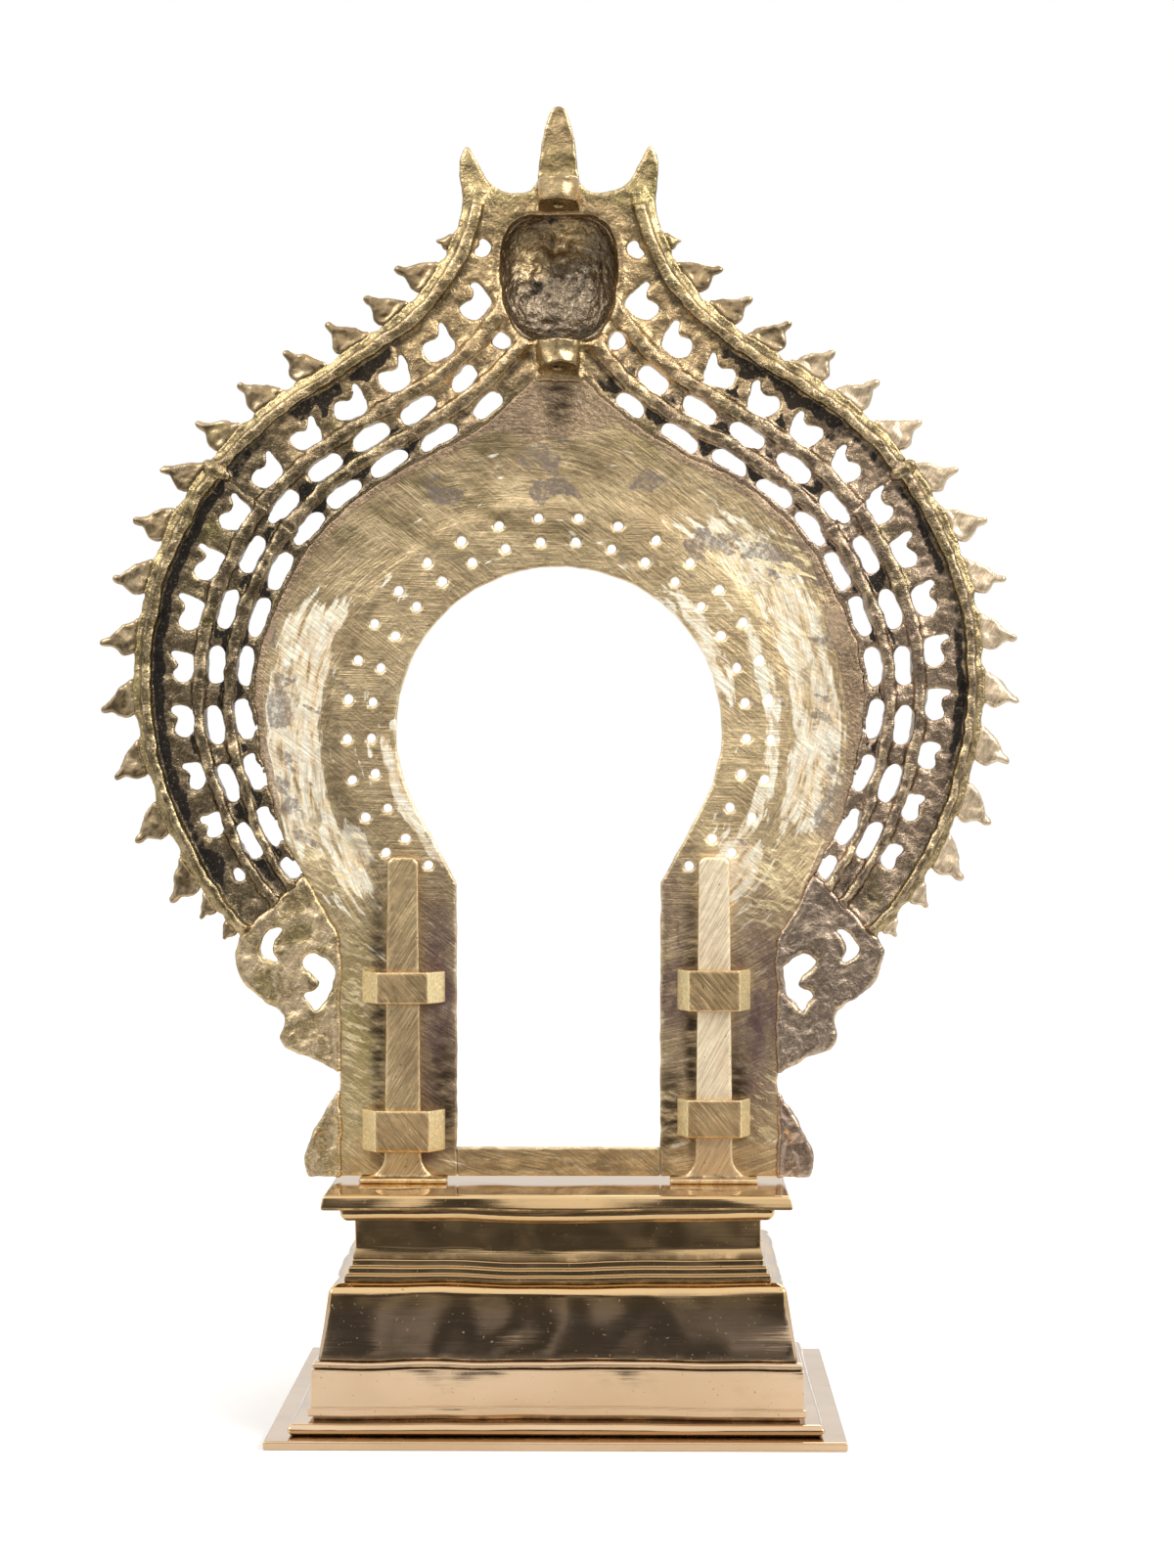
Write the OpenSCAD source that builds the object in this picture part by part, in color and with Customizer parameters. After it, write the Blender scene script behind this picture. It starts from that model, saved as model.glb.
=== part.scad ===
// Brass prabhavali: an openwork halo arch that slips over two tangs on a stepped pedestal.
// Millimetres, Z up. The plain rear of the arch faces -Y and the ornamented front faces +Y.

/* [Pedestal] */
// Width of the foot plate
foot_w = 229; // [160:1:320]
// Depth of the foot plate
foot_d = 206; // [150:1:300]
// Thickness of the foot plate
foot_t = 3.7; // [2:0.1:8]
// Height of the bevelled moulding on the foot plate
moulding_h = 4.8; // [3:0.1:10]
// Height of the plinth band
plinth_h = 20; // [12:0.5:40]
// Height of the round roll over the plinth band
roll_h = 3.1; // [2:0.1:6]
// Height of the sloping band
slope_h = 30; // [18:0.5:60]
// Height of each of the three step fillets
fillet_h = 2.9; // [2:0.1:6]
// Height of the neck band
neck_h = 15.6; // [8:0.1:30]
// Height of the cornice
cornice_h = 5.5; // [3:0.1:10]
// Thickness of the deck plate
deck_t = 6; // [3:0.1:12]
// Set-back of the moulding from the edge of the foot plate
moulding_in = 8.7; // [4:0.1:14]
// Set-back of the plinth band
plinth_in = 17.1; // [12:0.1:24]
// Set-back of the foot of the sloping band
slope_in = 19.4; // [15:0.1:26]
// Set-back of the lowest step fillet
step_in = 29; // [24:0.1:34]
// Set-back of the neck band
neck_in = 33; // [28:0.1:44]
// Set-back of the cornice
cornice_in = 27.7; // [22:0.1:36]
// Set-back of the deck plate
deck_in = 20.6; // [14:0.1:30]
// Wall thickness of the hollow courses
wall_t = 5; // [3:0.5:9]

/* [Tangs] */
// Distance between the centre lines of the two tangs
tang_span = 127; // [110:1:140]
// Width of a tang above its flare
tang_foot_w = 15; // [10:0.5:19]
// Width of a tang at its top
tang_top_w = 12.4; // [8:0.1:15]
// Height of a tang above its pad
tang_h = 131; // [100:1:150]
// Thickness of a tang
tang_t = 6; // [4:0.5:9]
// Radius of the flared foot of a tang
flare_r = 9; // [4:0.5:12]
// Height of the pad that carries the arch
pad_t = 2; // [1:0.1:5]
// Set-back of the tangs from the rear edge of the deck
tang_in = 38; // [20:1:60]

/* [Halo plate] */
// Thickness of the halo plate
plate_t = 4; // [3:0.1:7]
// Depth of the sunk outer zone
sunk = 0.8; // [0.3:0.1:2]
// Height of the keyhole centre over the foot of the arch
key_h = 183; // [170:1:196]
// Radius of the round part of the keyhole
key_r = 66.6; // [56:0.1:72]
// Half width of the straight part of the keyhole
key_leg = 41.6; // [34:0.1:46]
// Height of the shoulders of the straight part
key_shoulder_h = 119.7; // [110:0.1:126]
// Half width over the two legs
leg_half_w = 89.6; // [84:0.1:96]
// Height at which the legs leave the side castings
leg_shoulder_h = 96; // [88:0.5:104]
// Height of the sill bar between the legs
sill_h = 12; // [8:0.5:24]
// Diameter of the lacing holes round the keyhole
lace_d = 4.2; // [2:0.1:6]
// Distance of the first lacing row from the keyhole edge
lace_row = 10.4; // [6:0.1:13]
// Distance between the two lacing rows
lace_gap = 9.9; // [7:0.1:12]
// Angle between lacing holes
lace_pitch = 10.9; // [9:0.1:12]
// Lacing holes on each side of the outer row
lace_count = 12; // [6:1:12]

/* [Openwork frame] */
// Half width of the arch over its rim, without the flames
rim_half_w = 174; // [150:1:200]
// Height of the widest point over the foot of the arch
waist_h = 205; // [190:1:225]
// Radius of the rim below the widest point
lower_r = 151; // [140:1:165]
// Sweep of the rim below the widest point
lower_deg = 45; // [40:1:50]
// Radius of the rim above the widest point
upper_r = 140.5; // [130:0.5:150]
// Sweep of the rim above the widest point
upper_deg = 57; // [54:0.5:60]
// Length of the straight shoulder of the ogee
straight_l = 42.6; // [36:0.1:50]
// Radius of the hollow curve under the horns
ogee_r = 80; // [70:1:90]
// Sweep of the hollow curve under the horns
ogee_deg = 42; // [38:1:46]
// Rim length at which the side castings meet the crest casting
joint_s = 212; // [200:1:226]
// Thickness of the pierced web
web_t = 2.6; // [2:0.1:4]
// Height of the rim ridge over the web
ridge_h = 4.6; // [2:0.1:7]
// Height of the ribs over the web
rib_h = 2.8; // [1:0.1:5]
// Place of the lowest scroll hole along the left row
left_scroll_first = 18.8; // [14:0.1:22]
// Place of the lowest scroll hole along the right row
right_scroll_first = 28; // [22:0.1:30]
// Place of the highest full scroll hole along either row
scroll_last = 306; // [296:0.1:308]
// Steps from the lowest to the highest full scroll hole
scroll_steps = 13; // [8:1:13]
// Size of the lowest scroll holes: about half of their length
scroll_r = 5; // [3:0.1:5.6]
// Pitch of the slots along their row
slot_pitch = 22.5; // [19:0.1:26]
// Length of a slot
slot_l = 15.8; // [9:0.1:17]
// Width of a slot
slot_w = 6.2; // [3:0.1:6.4]

/* [Openwork rows] */
// Width of the rim ledge
ledge_d = 7; // [5:0.1:8]
// Distance of the rim ridge from the rim edge
ridge_from = 3; // [2:0.1:4]
// Distance of the inner side of the rim ridge from the rim edge
ridge_to = 7.6; // [6.4:0.1:9]
// Distance of the scroll holes from the rim edge
scroll_d = 20.2; // [17:0.1:20.4]
// Distance of the middle rib from the rim edge
mid_rib_from = 24.4; // [24:0.1:25.4]
// Distance of the inner side of the middle rib from the rim edge
mid_rib_to = 30.4; // [27:0.1:30.8]
// Distance of the outer slots from the rim edge
outer_slot_d = 33.9; // [33.6:0.1:34.4]
// Distance of the inner rib from the rim edge
inner_rib_from = 37.6; // [37:0.1:39]
// Distance of the inner side of the inner rib from the rim edge
inner_rib_to = 43; // [41:0.1:43.6]
// Distance of the inner slots from the rim edge
inner_slot_d = 46.9; // [46.4:0.1:47.6]
// Distance of the halo plate from the rim edge
halo_d = 51; // [50.4:0.1:54]

/* [Flames] */
// Flames on each side
flame_count = 14; // [6:1:14]
// Place of the lowest full flame along the rim
flame_first = 43; // [38:0.5:50]
// Pitch of the flames along the rim
flame_pitch = 22.2; // [18:0.1:22.3]
// Extra spacing of the flames towards the widest point of the arch
flame_ease = 6; // [0:0.1:8]
// How much lower the lowest flames on the left sit than those on the right
left_flame_drop = 10; // [0:0.5:12]
// Sideways lean of a flame for each millimetre of its height
flame_lean = 0.04; // [0:0.01:0.2]
// Height of a flame over the rim
flame_h = 14; // [8:0.1:16]
// Thickness of a flame
flame_t = 3.2; // [2:0.1:5]

/* [Crest] */
// Half width of the hollow of the face boss
boss_half_w = 23.5; // [18:0.5:24]
// Half height of the hollow of the face boss
boss_half_h = 26; // [20:0.5:27]
// Share of its half width that the boss loses at its chin
boss_taper = 0.22; // [0:0.01:0.3]
// Drop of the boss centre under the ends of the rim
boss_drop = 25; // [23:0.1:29]
// Height of the seat of the finial over the ends of the rim
seat_rise = 15; // [12:0.1:20]
// Height of the horns over the ends of the rim
horn_h = 29.6; // [24:0.1:40]
// Depth of the face boss in front of the plate
boss_deep = 17; // [8:0.5:24]
// Wall thickness of the face boss
boss_wall = 2.6; // [1.5:0.1:4]
// Height of the centre finial
finial_h = 29.5; // [16:0.5:50]
// Half width of the centre finial at its foot
finial_half_w = 8; // [5:0.1:8.6]
// Diameter of the stem bore through the lugs
stem_d = 5; // [3:0.1:7]
// Distance from the plate to the axis of the stem bore
stem_out = 6.5; // [5:0.1:9]
// Half width of a lug
lug_half_w = 8.4; // [6:0.1:8.8]
// Height of a lug
lug_h = 12.5; // [8:0.1:13]

/* [Keepers] */
// Height of the middle of the left upper keeper over the foot of the arch
left_upper_h = 77.7; // [60:0.1:100]
// Height of the middle of the right upper keeper
right_upper_h = 76.7; // [60:0.1:100]
// Height of the middle of the left lower keeper
left_lower_h = 19.2; // [19:0.1:40]
// Height of the middle of the right lower keeper
right_lower_h = 24.6; // [19:0.1:40]
// Length of the left upper keeper along its tang
left_upper_l = 13; // [8:0.1:24]
// Length of the right upper keeper
right_upper_l = 16.8; // [8:0.1:24]
// Length of the left lower keeper
left_lower_l = 17; // [8:0.1:18]
// Length of the right lower keeper
right_lower_l = 15.6; // [8:0.1:18]
// Thickness of a keeper strap
strap_t = 3; // [2:0.1:5]
// Half width of the left keepers at the plate
left_keeper_half_w = 17.4; // [14:0.1:20]
// Half width of the right keepers at the plate
right_keeper_half_w = 15.2; // [14:0.1:20]

/* [Fits] */
// Clearance between a tang and the parts that slide on it
slip = 0.4; // [0.3:0.05:1]
// Joint gap between pieces that are brazed together
braze = 0.1; // [0.05:0.01:0.2]

/* [Hidden] */
$fn = 48;

// Finishes
polished = [0.78, 0.62, 0.35];
filed = [0.80, 0.70, 0.48];
cast_skin = [0.55, 0.45, 0.28];

// Heights of the courses, from the floor up
moulding_z = foot_t;
plinth_z = moulding_z + moulding_h;
roll_z = plinth_z + plinth_h;
slope_z = roll_z + roll_h;
fillets_z = slope_z + slope_h;
neck_z = fillets_z + 3 * fillet_h;
cornice_z = neck_z + neck_h;
deck_z = cornice_z + cornice_h;
deck_top = deck_z + deck_t;
arch_z = deck_top + pad_t;

// Depth places: the rear face of the halo plate lies on arch_y
tang_rear = -foot_d / 2 + deck_in + tang_in;
arch_y = tang_rear + tang_t + slip;
tang_x = tang_span / 2;
keeper_deep = slip + tang_t + slip + strap_t;

// Levels across the thickness of the openwork, rearward from the halo plate
web_rear = -0.9;
rib_rear = web_rear + rib_h;
rib_front = web_rear - web_t - rib_h;
ridge_rear = web_rear + ridge_h;
ledge_rear = 0.4;
rim_step = 4;

// Guide line of the rim: two arcs, a straight and a hollow arc, by length along it
function unit(a) = [cos(a), sin(a)];
function turn(l, r) = l / r * 180 / PI;
lower_s = lower_r * lower_deg * PI / 180;
upper_s = lower_s + upper_r * upper_deg * PI / 180;
straight_s = upper_s + straight_l;
rim_s = straight_s + ogee_r * ogee_deg * PI / 180;
waist = [rim_half_w, waist_h];
lower_c = waist - [lower_r, 0];
upper_c = waist - [upper_r, 0];
straight_from = upper_c + upper_r * unit(upper_deg);
straight_to = straight_from + straight_l * unit(upper_deg + 90);
ogee_c = straight_to + ogee_r * unit(upper_deg);

// Direction straight out of the rim
function out_deg(s) =
    s < lower_s ? turn(s - lower_s, lower_r) :
    s < upper_s ? turn(s - lower_s, upper_r) :
    s < straight_s ? upper_deg : upper_deg - turn(s - straight_s, ogee_r);

// Point on the rim edge
function rim(s) =
    s < lower_s ? lower_c + lower_r * unit(out_deg(s)) :
    s < upper_s ? upper_c + upper_r * unit(out_deg(s)) :
    s < straight_s ? straight_from + (s - upper_s) * unit(upper_deg + 90) :
    ogee_c - ogee_r * unit(out_deg(s));

// The rows draw together towards the makaras and spread under the crest
function spread(s) = lookup(s / rim_s, [[0, 0.7], [0.17, 0.9], [0.51, 1.06], [0.76, 1.02], [1, 1.2]]);
function inward(s, d) = rim(s) - d * spread(s) * unit(out_deg(s));

// Rim length of a place that lies q along the row at depth d
function row_s(q, d) =
    let (a = lower_s * (1 - d / lower_r))
    let (b = a + (upper_s - lower_s) * (1 - d / upper_r))
    let (c = b + straight_l)
    q < a ? q / (1 - d / lower_r) :
    q < b ? lower_s + (q - a) / (1 - d / upper_r) :
    q < c ? upper_s + q - b : straight_s + (q - c) / (1 + d / ogee_r);

// Last rim length at which a row is still on its own side of the axis
function axis_s(d) = max([for (s = [straight_s:1:rim_s]) if (inward(s, d).x > 0) s]);

function run(from, to, d) =
    let (n = ceil((to - from) / rim_step))
    [for (i = [0:n]) inward(from + (to - from) * i / n, d)];
function reversed(p) = [for (i = [len(p) - 1:-1:0]) p[i]];
function flipped(p) = [for (i = [len(p) - 1:-1:0]) [-p[i].x, p[i].y]];

// Smooth line through a few points
function blend(a, b, c, d, t) =
    (2 * b + (c - a) * t + (2 * a - 5 * b + 4 * c - d) * t * t + (3 * b - a - 3 * c + d) * t * t * t) / 2;
function open_curve(p, n) =
    let (last = len(p) - 1)
    concat([for (i = [0:last - 1], k = [0:n - 1])
        blend(p[max(i - 1, 0)], p[i], p[i + 1], p[min(i + 2, last)], k / n)], [p[last]]);
function closed_curve(p, n) =
    let (m = len(p))
    [for (i = [0:m - 1], k = [0:n - 1])
        blend(p[(i + m - 1) % m], p[i], p[(i + 1) % m], p[(i + 2) % m], k / n)];

// Rounded square, by the power that its sides are squared with
function soft(v, power) = sign(v) * pow(abs(v), power);
function soft_square(w, h, power, step) =
    [for (t = [0:step:359]) [w * soft(cos(t), power), h * soft(sin(t), power)]];

// Outline of a flame [along the rim, out of it], as shares of its height
flame_points = [[-0.37, 0], [-0.51, 0.15], [-0.54, 0.31], [-0.43, 0.5], [-0.33, 0.67], [-0.37, 0.86],
    [-0.32, 1], [-0.19, 0.96], [-0.12, 0.79], [0.08, 0.61], [0.31, 0.42], [0.44, 0.2], [0.52, 0]];
// Outline of a scroll hole [out to the rim, along the row], as shares of its size
scroll_points = [[-0.72, 0.62], [0.06, 0.82], [0.9, 0.98], [1.08, 0.76], [0.7, 0.64], [0.36, 0.36],
    [0.32, -0.04], [0.58, -0.46], [0.62, -0.84], [0.1, -1.14], [-0.5, -0.88], [-0.76, -0.1]];
// Outline of a horn from the end of the rim, as shares of its height
horn_points = [[-0.017, 0.101], [-0.02, 0.304], [0.014, 0.743], [-0.101, 1], [-0.236, 0.811],
    [-0.412, 0.5], [-0.649, 0.365], [-0.912, 0.358], [-1.064, 0.439]];
// Outlines under the end of a side casting, as shares of the space between the leg and that end
makara_points = [[1.07, 0.937], [1.055, 0.885], [0.986, 0.807], [0.777, 0.738], [0.558, 0.669],
    [0.617, 0.579], [0.528, 0.53], [0.319, 0.506], [0.179, 0.469]];
beak_points = [[0.266, 0.936], [0.373, 0.914], [0.388, 0.877], [0.204, 0.795], [0.388, 0.756],
    [0.314, 0.718], [0.254, 0.677], [0.179, 0.718], [0.085, 0.764], [0.07, 0.876]];
crescent_points = [[0.568, 1.037], [0.724, 1.023], [0.834, 0.954], [0.784, 0.905], [0.605, 0.885],
    [0.682, 0.922], [0.702, 0.964], [0.647, 1.002]];
leaf_points = [[0.022, 0.326], [0.119, 0.282], [0.269, 0.176], [0.358, 0.087], [0.348, 0.024],
    [0.324, 0]];
makara_foot = 0.432;
leaf_top = 0.366;
function bracket(points) =
    let (corner = inward(0, 0))
    [for (p = points) [leg_half_w + p.x * (corner.x - leg_half_w), p.y * corner.y]];
finial_seat_h = rim(rim_s).y + seat_rise;
boss_h = rim(rim_s).y - boss_drop;

// Placing

// Stand a flat outline in the arch, from rear level a to rear level b
module slab(a, b) {
    translate([0, arch_y - a, arch_z])
        rotate([90, 0, 0])
            linear_extrude(b - a)
                children();
}

module on_right() {
    children();
}

module on_left() {
    mirror([1, 0, 0])
        children();
}

// Pedestal courses

// Rectangular solid whose set-back follows the points [set-back, height]
module moulded(points) {
    x_side = [for (p = points) [foot_w / 2 - p.x, p.y]];
    y_side = [for (p = points) [foot_d / 2 - p.x, p.y]];
    intersection() {
        translate([0, foot_d / 2, 0])
            rotate([90, 0, 0])
                linear_extrude(foot_d)
                    polygon(concat(x_side, flipped(x_side)));
        translate([-foot_w / 2, 0, 0])
            rotate([90, 0, 90])
                linear_extrude(foot_w)
                    polygon(concat(y_side, flipped(y_side)));
    }
}

// Hollow course with an even wall, wide enough inside to carry the course that stands on it
module course(points, seat_in = 0) {
    last = len(points) - 1;
    lap = 2;
    core = [for (p = points) [max(p.x + wall_t, seat_in + lap), p.y]];
    difference() {
        moulded(points);
        moulded(concat([core[0] - [0, 1]], core, [core[last] + [0, 1]]));
    }
}

module foot_plate() {
    edge = 0.5;
    color(polished)
        moulded([[edge, 0], [0, edge], [0, foot_t - edge], [edge, foot_t]]);
}

module foot_moulding() {
    bevel = 1.6;
    color(polished)
        course([[moulding_in + bevel, moulding_z], [moulding_in, moulding_z + bevel],
            [moulding_in, plinth_z - bevel], [moulding_in + bevel, plinth_z]], plinth_in + bead);
}

bead = 1;
module plinth_band() {
    recess_h = 1.6;
    bead_top = 4.8;
    color(polished)
        course([[plinth_in + bead, plinth_z], [plinth_in + bead, plinth_z + recess_h],
            [plinth_in - bead, plinth_z + recess_h], [plinth_in - bead, plinth_z + bead_top],
            [plinth_in, plinth_z + bead_top], [plinth_in, roll_z]]);
}

module plinth_roll() {
    r = roll_h / 2;
    roll_in = (plinth_in + slope_in) / 2 + r / 2;
    color(polished)
        course([for (t = [-90:15:90]) [roll_in - r * cos(t), roll_z + r + r * sin(t)]]);
}

module sloping_band() {
    lean = 3.6;
    round_r = 4.2;
    color(polished)
        course(concat([[slope_in, slope_z]],
            [for (t = [0:15:75]) [slope_in + lean + round_r * (1 - cos(t)),
                fillets_z - round_r + round_r * sin(t)]],
            [[slope_in + lean + round_r, fillets_z]]));
}

module step_fillets() {
    tread = 1.4;
    color(polished)
        course([for (i = [0:2], k = [0:1]) [step_in + i * tread, fillets_z + (i + k) * fillet_h]]);
}

module neck_band() {
    flare = 1;
    flare_h = 4;
    color(polished)
        course([[neck_in - flare, neck_z], [neck_in, neck_z + flare_h], [neck_in, cornice_z]]);
}

module cornice() {
    taper = 2;
    color(polished)
        course([[cornice_in + taper, cornice_z], [cornice_in, cornice_z + taper], [cornice_in, deck_z]]);
}

module deck_plate() {
    edge = 0.8;
    color(polished)
        moulded([[deck_in + edge, deck_z], [deck_in, deck_z + edge], [deck_in, deck_top - edge],
            [deck_in + edge, deck_top]]);
}

// Tangs

// Right half of the front view of a tang, from the foot of its flare to its top
function tang_side() =
    let (foot = tang_foot_w / 2)
    let (corner = 2)
    concat([for (t = [270:-15:180]) [foot + flare_r + flare_r * cos(t), flare_r + flare_r * sin(t)]],
        [[tang_top_w / 2, tang_h - corner], [tang_top_w / 2 - corner, tang_h]]);

module tang() {
    pad_half_w = tang_foot_w / 2 + flare_r + 1.5;
    pad_rear = 3;
    translate([tang_x, 0, 0]) {
        translate([0, tang_rear + tang_t, arch_z])
            rotate([90, 0, 0])
                linear_extrude(tang_t)
                    polygon(concat(tang_side(), flipped(tang_side())));
        translate([-pad_half_w, tang_rear - pad_rear, deck_top])
            cube([2 * pad_half_w, pad_rear + tang_t + slip + plate_t, pad_t]);
    }
}

module right_tang() {
    color(filed)
        on_right()
            tang();
}

module left_tang() {
    color(filed)
        on_left()
            tang();
}

// Halo plate and sill

// Keyhole: a round with straight tangents down to the shoulders of the straight part
module keyhole() {
    shoulder = [key_leg, key_shoulder_h - key_h];
    tangent = atan2(shoulder.y, shoulder.x) + acos(key_r / norm(shoulder));
    side = [key_r * unit(tangent), shoulder, [key_leg, -key_h - 1]];
    translate([0, key_h]) {
        circle(key_r, $fn = 120);
        polygon(concat(reversed(side), flipped(reversed(side))));
    }
}

// One row of lacing holes on both sides of the axis
module lacing(row_r, count) {
    for (i = [0:count - 1], side = [-1, 1])
        translate([0, key_h] + row_r * unit(90 + side * lace_pitch * (i + 0.5)))
            circle(d = lace_d, $fn = 24);
}

// Tongue of the crest casting that carries the lower lug, let into the halo plate
lug_gap = 0.5;
tongue_lap = 3;
tongue_side = 1;
lower_lug_h = boss_h - boss_half_h - lug_h - lug_gap;
upper_lug_h = boss_h + boss_half_h + 2 * lug_gap;
tongue_foot_h = lower_lug_h - tongue_lap;
module tongue(gap) {
    half_w = lug_half_w + tongue_side + gap;
    translate([-half_w, tongue_foot_h - gap])
        square([2 * half_w, rim(rim_s).y - tongue_foot_h]);
}

// Scoop that the drill left under the lower lug
module scoop() {
    scoop_r = 4.6;
    scoop_lean = 14;
    translate([0, arch_y - stem_out, arch_z + lower_lug_h])
        rotate([180 - scoop_lean, 0, 0])
            cylinder(r = scoop_r, h = 16);
}

module halo_outline() {
    edge = run(0, axis_s(halo_d), halo_d + braze);
    right = concat([[leg_half_w, 0], [leg_half_w, leg_shoulder_h]], edge);
    difference() {
        polygon(concat(right, flipped(right)));
        keyhole();
        tongue(braze);
        lacing(key_r + lace_row, lace_count + 1);
        lacing(key_r + lace_row + lace_gap, lace_count);
    }
}

module halo_plate() {
    band_r = key_r + lace_row + lace_gap + 6;
    color(filed)
        difference() {
            slab(-plate_t, 0)
                halo_outline();
            slab(-sunk, 1)
                difference() {
                    translate([-rim_half_w, key_shoulder_h])
                        square([2 * rim_half_w, rim_half_w * 2]);
                    translate([0, key_h])
                        circle(band_r, $fn = 120);
                }
            scoop();
        }
}

module sill_bar() {
    color(filed)
        slab(-plate_t, 0)
            translate([braze - key_leg, 0])
                square([2 * (key_leg - braze), sill_h]);
}

// Openwork castings

module band(from, to, d_from, d_to) {
    polygon(concat(run(from, to, d_from), reversed(run(from, to, d_to))));
}

// Comma-shaped hole with a tail towards the rim and the bud of the scroll in its side
function scroll_size(s) = scroll_r * lookup(s / rim_s, [[0.12, 1], [0.36, 1.26], [0.85, 1.3]]);
function scroll_row(s) = scroll_d * lookup(s / rim_s, [[0.62, 1], [0.85, 0.9]]);

module scroll_hole(s, d, size) {
    translate(inward(s, d))
        rotate(out_deg(s))
            polygon(closed_curve(size * scroll_size(s) * scroll_points, 2));
}

module slot_hole(s, d, size) {
    translate(inward(s, d))
        rotate(out_deg(s))
            polygon(soft_square(slot_w / 2, size * slot_l / 2, 0.62, 24));
}

// The holes of one side that reach into the stretch of rim between two lengths
module piercings(from, to, scroll_first) {
    tail_s = 25;
    top_share = 0.54;
    slot_first = 23.5;
    slot_last = 11;
    slot_row = (outer_slot_d + inner_slot_d) / 2;
    scroll_pitch = (scroll_last - scroll_first) / scroll_steps;
    for (i = [0:scroll_steps + 1])
        let (s = row_s(scroll_first + i * scroll_pitch, scroll_d))
            if (s > from - 2 * scroll_r && s < to + 2 * scroll_r)
                scroll_hole(s, i > scroll_steps ? top_share * scroll_d : scroll_row(s),
                    i > scroll_steps || s < tail_s ? 0.55 : 1);
    for (i = [0:slot_last], d = [outer_slot_d, inner_slot_d])
        let (s = row_s(slot_first + i * slot_pitch, slot_row), beside = inward(s, d).x - boss_half_w)
            if (s > from - slot_l && s < to + slot_l && beside > -1)
                slot_hole(s, d, beside < 2 ? 0.36 : s > straight_s ? 0.8 : 1);
    if (from < slot_l)
        slot_hole(slot_l / 2, inner_slot_d, 0.6);
}

// Ribs of one side: the rim ledge, the rim ridge and the two inner ribs
module ribs(from, to, mid_to, inner_to) {
    slab(rib_front, ledge_rear)
        band(from, to, 0, ledge_d);
    slab(web_rear - web_t, ridge_rear)
        band(from, to, ridge_from, ridge_to);
    slab(rib_front, rib_rear)
        band(from, mid_to, mid_rib_from, mid_rib_to);
    slab(rib_front, rib_rear)
        band(from, inner_to, inner_rib_from, inner_rib_to);
}

module side_frame(scroll_first) {
    ribs(0, joint_s - braze, joint_s - braze, joint_s - braze);
    slab(web_rear - web_t, web_rear)
        difference() {
            band(0, joint_s - braze, ridge_from, halo_d);
            piercings(0, joint_s, scroll_first);
        }
}

module right_frame() {
    color(cast_skin)
        on_right()
            side_frame(right_scroll_first);
}

module left_frame() {
    color(cast_skin)
        on_left()
            side_frame(left_scroll_first);
}

// Outline of the boss, drawn in towards its chin
function chin(v) = 1 - boss_taper * pow(max(-v, 0), 2);

module boss_outline(grow) {
    translate([0, boss_h])
        polygon([for (p = soft_square(boss_half_w + grow, boss_half_h + grow, 0.55, 12))
            [p.x * chin(p.y / (boss_half_h + grow)), p.y]]);
}

module crest_web() {
    outer = run(joint_s, rim_s, ridge_from);
    inner = run(joint_s, axis_s(halo_d), halo_d);
    difference() {
        polygon(concat(outer, flipped(outer), flipped(reversed(inner)), reversed(inner)));
        for (side = [0, 1])
            mirror([side, 0])
                piercings(joint_s, rim_s, side == 0 ? right_scroll_first : left_scroll_first);
    }
}

// Top of the crest with its two horns and the seat of the finial
module horns() {
    root = horn_h / 5;
    right = concat([rim(rim_s - root)], open_curve([for (p = horn_points) rim(rim_s) + horn_h * p], 3),
        [[finial_half_w, finial_seat_h]]);
    polygon(concat(right, flipped(right)));
}

module crest_frame() {
    rib_stop = 12;
    surround = 3.8;
    ridge_tail = 6;
    color(cast_skin)
        difference() {
            union() {
                for (side = [0, 1])
                    mirror([side, 0, 0])
                        ribs(joint_s, rim_s, rim_s - rib_stop, axis_s(inner_rib_to) - rib_stop);
                for (side = [0, 1], k = [1, 2])
                    mirror([side, 0, 0])
                        slab(web_rear, ridge_rear / k)
                            band(rim_s - 1, rim_s + k * ridge_tail, ridge_from, ridge_to);
                slab(web_rear - web_t, web_rear)
                    crest_web();
                slab(-plate_t, 0)
                    horns();
                slab(-plate_t, 0)
                    boss_outline(surround);
                slab(-plate_t, 0)
                    tongue(0);
            }
            slab(-plate_t - 5, 10)
                boss_outline(0);
            slab(-plate_t - boss_deep, -plate_t)
                boss_outline(boss_wall + slip);
            scoop();
        }
}

// Flames along the rim, each a separate leaf brazed to the edge and filed to its hollow curve

module flame(s, size) {
    seat = rim(s) + braze * unit(out_deg(s));
    leaf = open_curve(flame_points, 2);
    difference() {
        translate(seat)
            rotate(out_deg(s) - 90)
                polygon([for (p = leaf) size * flame_h * [p.y * flame_lean - p.x, p.y]]);
        if (s > upper_s)
            band(joint_s, rim_s, -braze, ledge_d);
    }
}

// Share of the drop at a place along the rim: all of it at the lowest full flame
function dropped(s) = s < flame_first ? s / flame_first : max(0, 1 - (s - flame_first) / (5 * flame_pitch));

module flames(drop) {
    small_flames = [[0.022, 0.44], [0.07, 0.58], [0.97, 0.4]];
    flame_front = web_rear - web_t;
    for (i = [0:flame_count - 1])
        let (s = flame_first + i * flame_pitch + flame_ease * sin(180 * i / (flame_count - 1)))
            slab(flame_front, flame_front + flame_t)
                flame(s - drop * dropped(s), 1);
    for (small = small_flames)
        let (s = small[0] * rim_s)
            slab(flame_front, flame_front + flame_t)
                flame(s - drop * dropped(s), small[1]);
}

module right_flames() {
    color(cast_skin)
        on_right()
            flames(0);
}

module left_flames() {
    color(cast_skin)
        on_left()
            flames(left_flame_drop);
}

// Makara brackets under the side castings and leaves at the feet

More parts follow.
